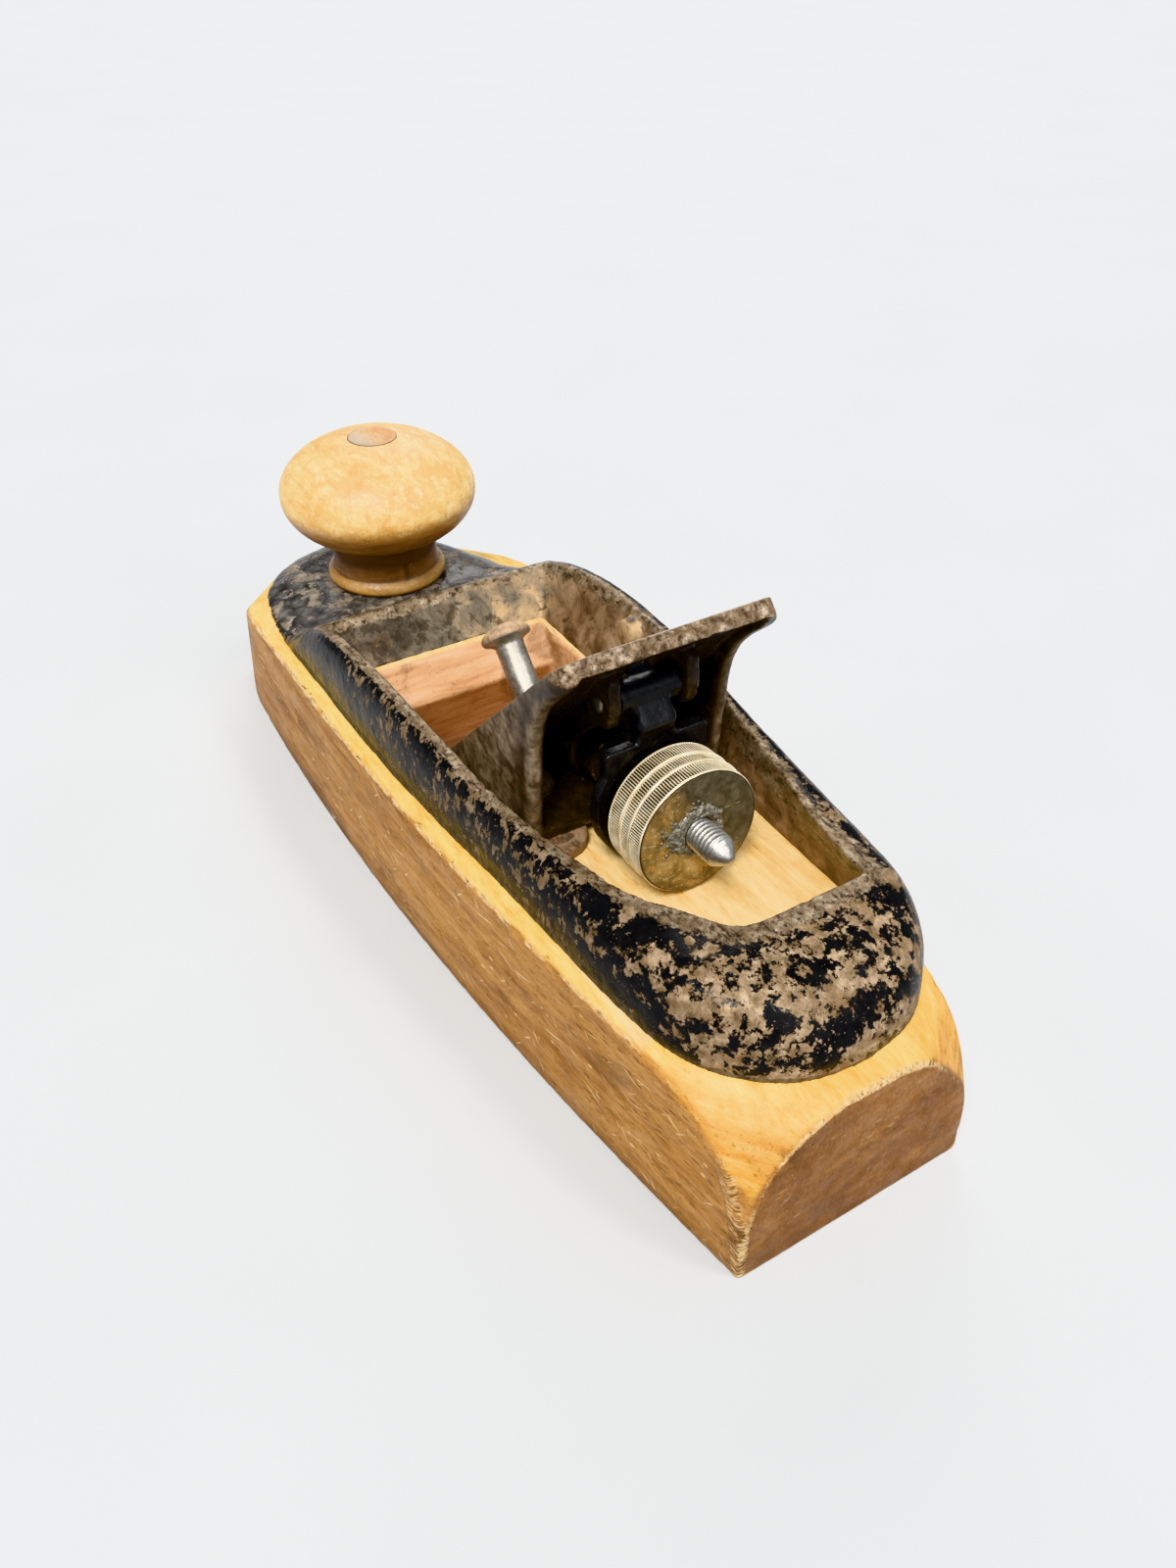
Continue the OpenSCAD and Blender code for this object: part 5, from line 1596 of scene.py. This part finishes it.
def mark_frame(ob):
    co, nn, e = points(ob), normals(ob), links(ob)
    ns = averaged(nn, e, 4)
    x, y, z = co.T
    hood = step(-80, -90, x)
    toe = step(50, 60, x)
    inr = np.interp(x, np.linspace(-86, 60, 74), in_r(np.linspace(-86, 60, 74)))
    wall_y = OPEN + (inr - OPEN) * np.clip((z - 36) / np.maximum(np.interp(
        x, np.linspace(-86, 60, 74), rim_tab(np.linspace(-86, 60, 74))) - 36, 1), 0, 1)
    wall = ((np.abs(y) < wall_y + .6) & (x > -86.3) & (x < 47.5)
            & (ns[:, 2] < .9) & (np.abs(y) > 8)).astype(float)
    floor_ = ((z < 40.6) & (x < -15) & (x > -86) & (np.abs(y) < 27) & (ns[:, 2] > .6)).astype(float)
    under = step(-.4, -.8, ns[:, 2])
    dam = ((x > 30) & (x < 54) & (ns[:, 0] < -.2)).astype(float)
    dam = np.maximum(dam, step(26, 42, x) * (x < 54) * (y < -20) * (ns[:, 1] > .2))
    wall = averaged(np.clip(wall + floor_ + under + (dam > .02), 0, 1), e, 3)
    base = step(6, .5, z - (SEAT - left_drop(x)))
    wear = .12 + .62 * hood * step(-108, -98, x) + .3 * toe + .25 * base * (1 - hood)
    wear = wear + .2 * step(.35, .95, ns[:, 2])
    edge = averaged(step(.02, .26, edges_of(ob, 14)), e, 3)
    rise = z - (SEAT - left_drop(np.clip(x, -40, 114)))
    rear = step(20, -70, x)
    deck = toe * step(.8, .95, ns[:, 2])
    wear = .36 + .34 * rear + .32 * hood + .05 * toe + .35 * deck
    wear = wear + .12 * step(-78, -60, x) * step(20, 0, x) * step(5, 9, rise)
    wear = wear - .1 * step(5, 1.5, rise) * (1 - toe) - .22 * step(-16, -26, y) * step(-88, -80, x)
    # the rim is rubbed bare round the opening, widest over the hood
    px = np.linspace(-86.5, 47, 90)
    line = np.concatenate([np.stack([px, in_l(px)], 1), np.stack([px, -in_r(px)], 1),
                           np.stack([np.full(16, -86.5), np.linspace(-17, 2, 16)], 1),
                           np.stack([np.full(40, 47.6), np.linspace(-29, 29, 40)], 1)])
    far = away_from(co, line)
    wide = 1.5 + .9 * step(-10, 5, y) + 2.6 * step(-60, -84, x)
    high = step(9, 4, np.interp(x, px, rim_tab(px)) - z)
    rub = step(wide * 1.6, wide * .5, far) * high * (z > 44)
    rub = rub * (.66 + .5 * (fbm(co, (14, 9, 9), 3, 25) - .35))
    rub = np.clip(rub + .35 * step(.14, .34, averaged(edges_of(ob, 8), e, 2)) * step(3, 6, rise), 0, .9)
    dull = step(4.4 - 2 * hood, 1 - .6 * hood, rise) * (1 - wall) * (1 - .6 * toe)
    attribute(ob, "wear", wear)
    attribute(ob, "wall", wall * (1 - hood * step(38, 44, z) * (ns[:, 2] > 0)))
    attribute(ob, "edge", edge)
    attribute(ob, "rub", averaged(rub, e, 2))
    attribute(ob, "dull", dull)
    lug = step(3.9, 3.3, np.hypot(x - 3.2, z - 50.2)) * step(-24.6, -25.2, y) * step(-33.5, -32, y)
    dam = np.maximum(dam, lug)
    attribute(ob, "sooty", step(0, 50, x) * np.clip((y + 24) / 40, 0, 1) - .35 * step(-30, -70, x) - .9 * lug)
    attribute(ob, "deck", averaged(deck, e, 3))
    attribute(ob, "flank", step(-78, -55, x) * (1 - deck))
    attribute(ob, "dam", np.maximum(averaged(dam * (1 - lug), e, 14), averaged(lug, e, 1)))
    return ob


def mark_frog(ob):
    co, nn, e = points(ob), normals(ob), links(ob)
    x, y, z = co.T
    d = (37.1 - x - z) / math.sqrt(2)
    attribute(ob, "bed", averaged(((d < .25) & (nn @ np.array([1, 0, 1]) > 1.2)).astype(float), e, 1))
    ns = averaged(nn, e, 6)
    lip = step(79, 84, z) * step(2, 6, 90 - (z - x) / math.sqrt(2) + 6)
    lip = step(81, 84.5, z) * step(-.2, .3, ns[:, 2] - .2 * ns[:, 0])
    rear = np.interp(z, [39.6, 46, 58, 64.6, 69.6, 74.1, 78, 81.6, 85.4],
                     [-39, -39.4, -40.2, -40.7, -41.7, -43.9, -47.2, -51, -53.7])
    cheek = step(.5, .85, np.abs(ns[:, 1])) * step(20, 21.4, np.abs(y)) * step(1, 10, x - rear)
    roll = step(3.8, .8, x - rear) * step(19.2, 20.6, np.abs(y)) * step(82, 76, z)
    attribute(ob, "cheek", averaged(np.maximum(cheek, .9 * roll), e, 2))
    worn = step(2.5, 5, x - rear) + step(70, 80, z)
    lip = np.maximum(lip, .4 * step(.12, .34, averaged(edges_of(ob, 8), e, 2))
                     * step(19, 21, np.abs(y)) * np.clip(worn, 0, 1))
    attribute(ob, "lip", averaged(lip, e, 2))
    attribute(ob, "edge", averaged(step(.03, .25, edges_of(ob, 12)), e, 2))
    return ob


body = smooth(mark_body(build_body()))
piece(body, "beech_stock", "plane_body", "wood_body", beech_body())
iron = smooth(mark_frame(build_frame()), 52)
piece(iron, "cast_frame", "plane_body", "top_frame", chipped("japanned_frame", 0.0))
frog = smooth(mark_frog(build_frog()), 45)
piece(frog, "cast_frog", "plane_body", "frog", japanned_frog())

knob = smooth(build_knob(), 50)
kc, kn = points(knob), normals(knob)
# up: pale wood on the ball's upward faces and part of the flange; the rest takes the darker brown painted as shade
# under the ball
attribute(knob, "up", step(-.6, .3, averaged(kn, links(knob), 3)[:, 2]) * step(48, 56, kc[:, 2])
          + step(43, 41, kc[:, 2]) * step(38.6, 39.4, kc[:, 2]) * .34)
attribute(knob, "edge", edges_of(knob, 6))
piece(knob, "turned_knob", "plane_body", "front_knob", beech_knob())
plug = smooth(build_plug(), 60)
attribute(plug, "ring", step(5.45, 5.95, np.hypot(points(plug)[:, 0] - 79.3, points(plug)[:, 1])))
piece(plug, "knob_cap_plug", "plane_body", "knob_plug", beech_plug())

wheel = smooth(build_wheel(), 40)
wc = points(wheel)
fm = frame_on_stud(0)
wl = (wc - fm[:3, 3]) @ fm[:3, :3]
wr = np.hypot(wl[:, 0], wl[:, 1])
attribute(wheel, "face", step(12.5, 12.25, wr) * ((wl[:, 2] < .6) | (wl[:, 2] > 10.2)))
attribute(wheel, "groove", step(12.84, 12.64, wr))
piece(wheel, "knurled_wheel", "wheel", "adjusting_wheel", brass_wheel())

steel_dark = iron_plain("steel_aged", (.1, .085, .065), (.26, .23, .19), (.46, .42, .36), .8, .42, 3, .03, (.25, .13, .06))
steel_bright = iron_plain("steel_thread", (.3, .29, .26), (.5, .49, .455), (.7, .69, .65), .9, .36, 13, -.06, head=(.05, .042, .032))
steel_post = iron_plain("steel_post", (.2, .175, .14), (.42, .39, .34), (.66, .63, .57), .85, .38, 23, .02, (.3, .17, .085), (.4, .25, .13))
rust_screw = iron_plain("screw_heads", (.07, .045, .028), (.2, .13, .08), (.4, .3, .2), .6, .5, 33, .1, (.28, .12, .045))
collar_mat = iron_plain("brass_collar", (.1, .075, .04), (.26, .2, .11), (.48, .38, .22), .7, .42, 43, .03, (.08, .05, .025))
yoke_mat = chipped("japanned_yoke", -.03, .3, .34)
crust_mat = iron_plain("grey_deposit", (.03, .026, .019), (.13, .118, .09), (.5, .47, .39), .2, .6, 53, 0,
                       (.2, .165, .115), grain=.3)

piece(smooth(build_bush(), 40), "wheel_bush_ring", "wheel", "wheel_bush", steel_dark)
piece(smooth(build_crust()), "dried_deposit", "wheel", None, crust_mat)
stud = smooth(build_stud(), 60)
sl = (points(stud) - fm[:3, 3]) @ fm[:3, :3]
attribute(stud, "head", step(2.95, 2.72, np.hypot(sl[:, 0], sl[:, 1])) * step(-6.2, -5.6, sl[:, 2]))
piece(stud, "threaded_stud", "plane_body", "adjusting_stud", steel_bright)
piece(smooth(build_collar(), 40), "grooved_collar", "collar", "thrust_collar", collar_mat)
yoke = smooth(build_yoke())
for part in ("wear", "wall", "rub", "dull", "sooty", "deck", "dam", "flank"):
    attribute(yoke, part, np.zeros(len(yoke.data.vertices)))
attribute(yoke, "edge", averaged(step(.02, .2, edges_of(yoke, 10)), links(yoke), 2))
piece(yoke, "yoke", "yoke", "yoke_lever", yoke_mat)
piece(smooth(build_pin(), 40), "pivot_pin", "plane_body", "yoke_pin", steel_dark)
post = smooth(build_cap_screw(), 50)
pf = frame_on_bed(29.8)
attribute(post, "head", step(18.2, 19.6, (points(post) - pf[:3, 3]) @ pf[:3, 2]))
piece(post, "cap_post", "plane_body", "cap_screw", steel_post)
piece(smooth(build_frame_screws(), 40), "slotted_frame_screws", "plane_body", "frame_screws", rust_screw)
piece(smooth(build_frog_screws(), 40), "slotted_frog_screws", "plane_body", "frog_screws", rust_screw)
piece(smooth(build_frog_washers(), 40), "washers", "plane_body", "frog_washers", steel_dark)
piece(smooth(build_knob_screw(), 40), "slotted_knob_screw", "plane_body", "knob_screw", rust_screw)
piece(smooth(build_knob_washer(), 40), "knob_screw_washer", "plane_body", "knob_washer", steel_dark)


# --------------------------------------------------- stage, light, camera

def build_stage():
    bm = bmesh.new()
    bmesh.ops.create_grid(bm, x_segments=8, y_segments=8, size=12.0)
    me = bpy.data.meshes.new("floor")
    bm.to_mesh(me)
    bm.free()
    ob = bpy.data.objects.new("floor", me)
    ob.location = (0, 0, -.0002)
    bpy.context.scene.collection.objects.link(ob)
    m = Paint("floor")
    n = m.noise(60, 3, .5, 0, 3)
    col = m.ramp(n, (.3, (.43, .44, .45)), (.7, (.45, .46, .47)))
    dress(ob, m.finish(col, .8, 0, None, .2))
    return ob


def soft_light(name, place, angle, power, color):
    """A broad far light, so that the whole floor is lit alike."""
    d = bpy.data.lights.new(name, "SUN")
    d.energy, d.angle, d.color = power, angle, color
    ob = bpy.data.objects.new(name, d)
    ob.location = place
    ob.rotation_mode = "QUATERNION"
    ob.rotation_quaternion = (-Vector(place)).to_track_quat("-Z", "Y")
    bpy.context.scene.collection.objects.link(ob)
    return ob


bpy.context.scene.view_settings.view_transform = "Khronos PBR Neutral"
build_stage()
world = bpy.data.worlds.new("studio")
world.use_nodes = True
world.node_tree.nodes["Background"].inputs[0].default_value = (.93, .96, 1, 1)
world.node_tree.nodes["Background"].inputs[1].default_value = .36
bpy.context.scene.world = world
soft_light("key", (-.34, .4, .87), .42, 4.9, (1, .985, .955))
soft_light("fill", (-.9, -.1, .52), .85, .9, (.97, .985, 1))
soft_light("sheen", (-.42, -.34, .86), .2, .8, (.96, .98, 1))
soft_light("back", (.75, -.45, .57), .55, 1.3, (1, .99, .97))

cam = bpy.data.cameras.new("camera")
cam.lens, cam.sensor_width, cam.sensor_fit = 27.16, 36, "AUTO"
cam.clip_start, cam.clip_end = .01, 20
eye = bpy.data.objects.new("camera", cam)
pitch, yaw = .6777, -.5459
forward = Vector((math.cos(yaw) * math.cos(pitch), math.sin(yaw) * math.cos(pitch), -math.sin(pitch)))
eye.location = (-.18945, .10069, .19166)
eye.rotation_mode = "QUATERNION"
eye.rotation_quaternion = forward.to_track_quat("-Z", "Y")
bpy.context.scene.collection.objects.link(eye)
bpy.context.scene.camera = eye

bpy.context.view_layer.update()
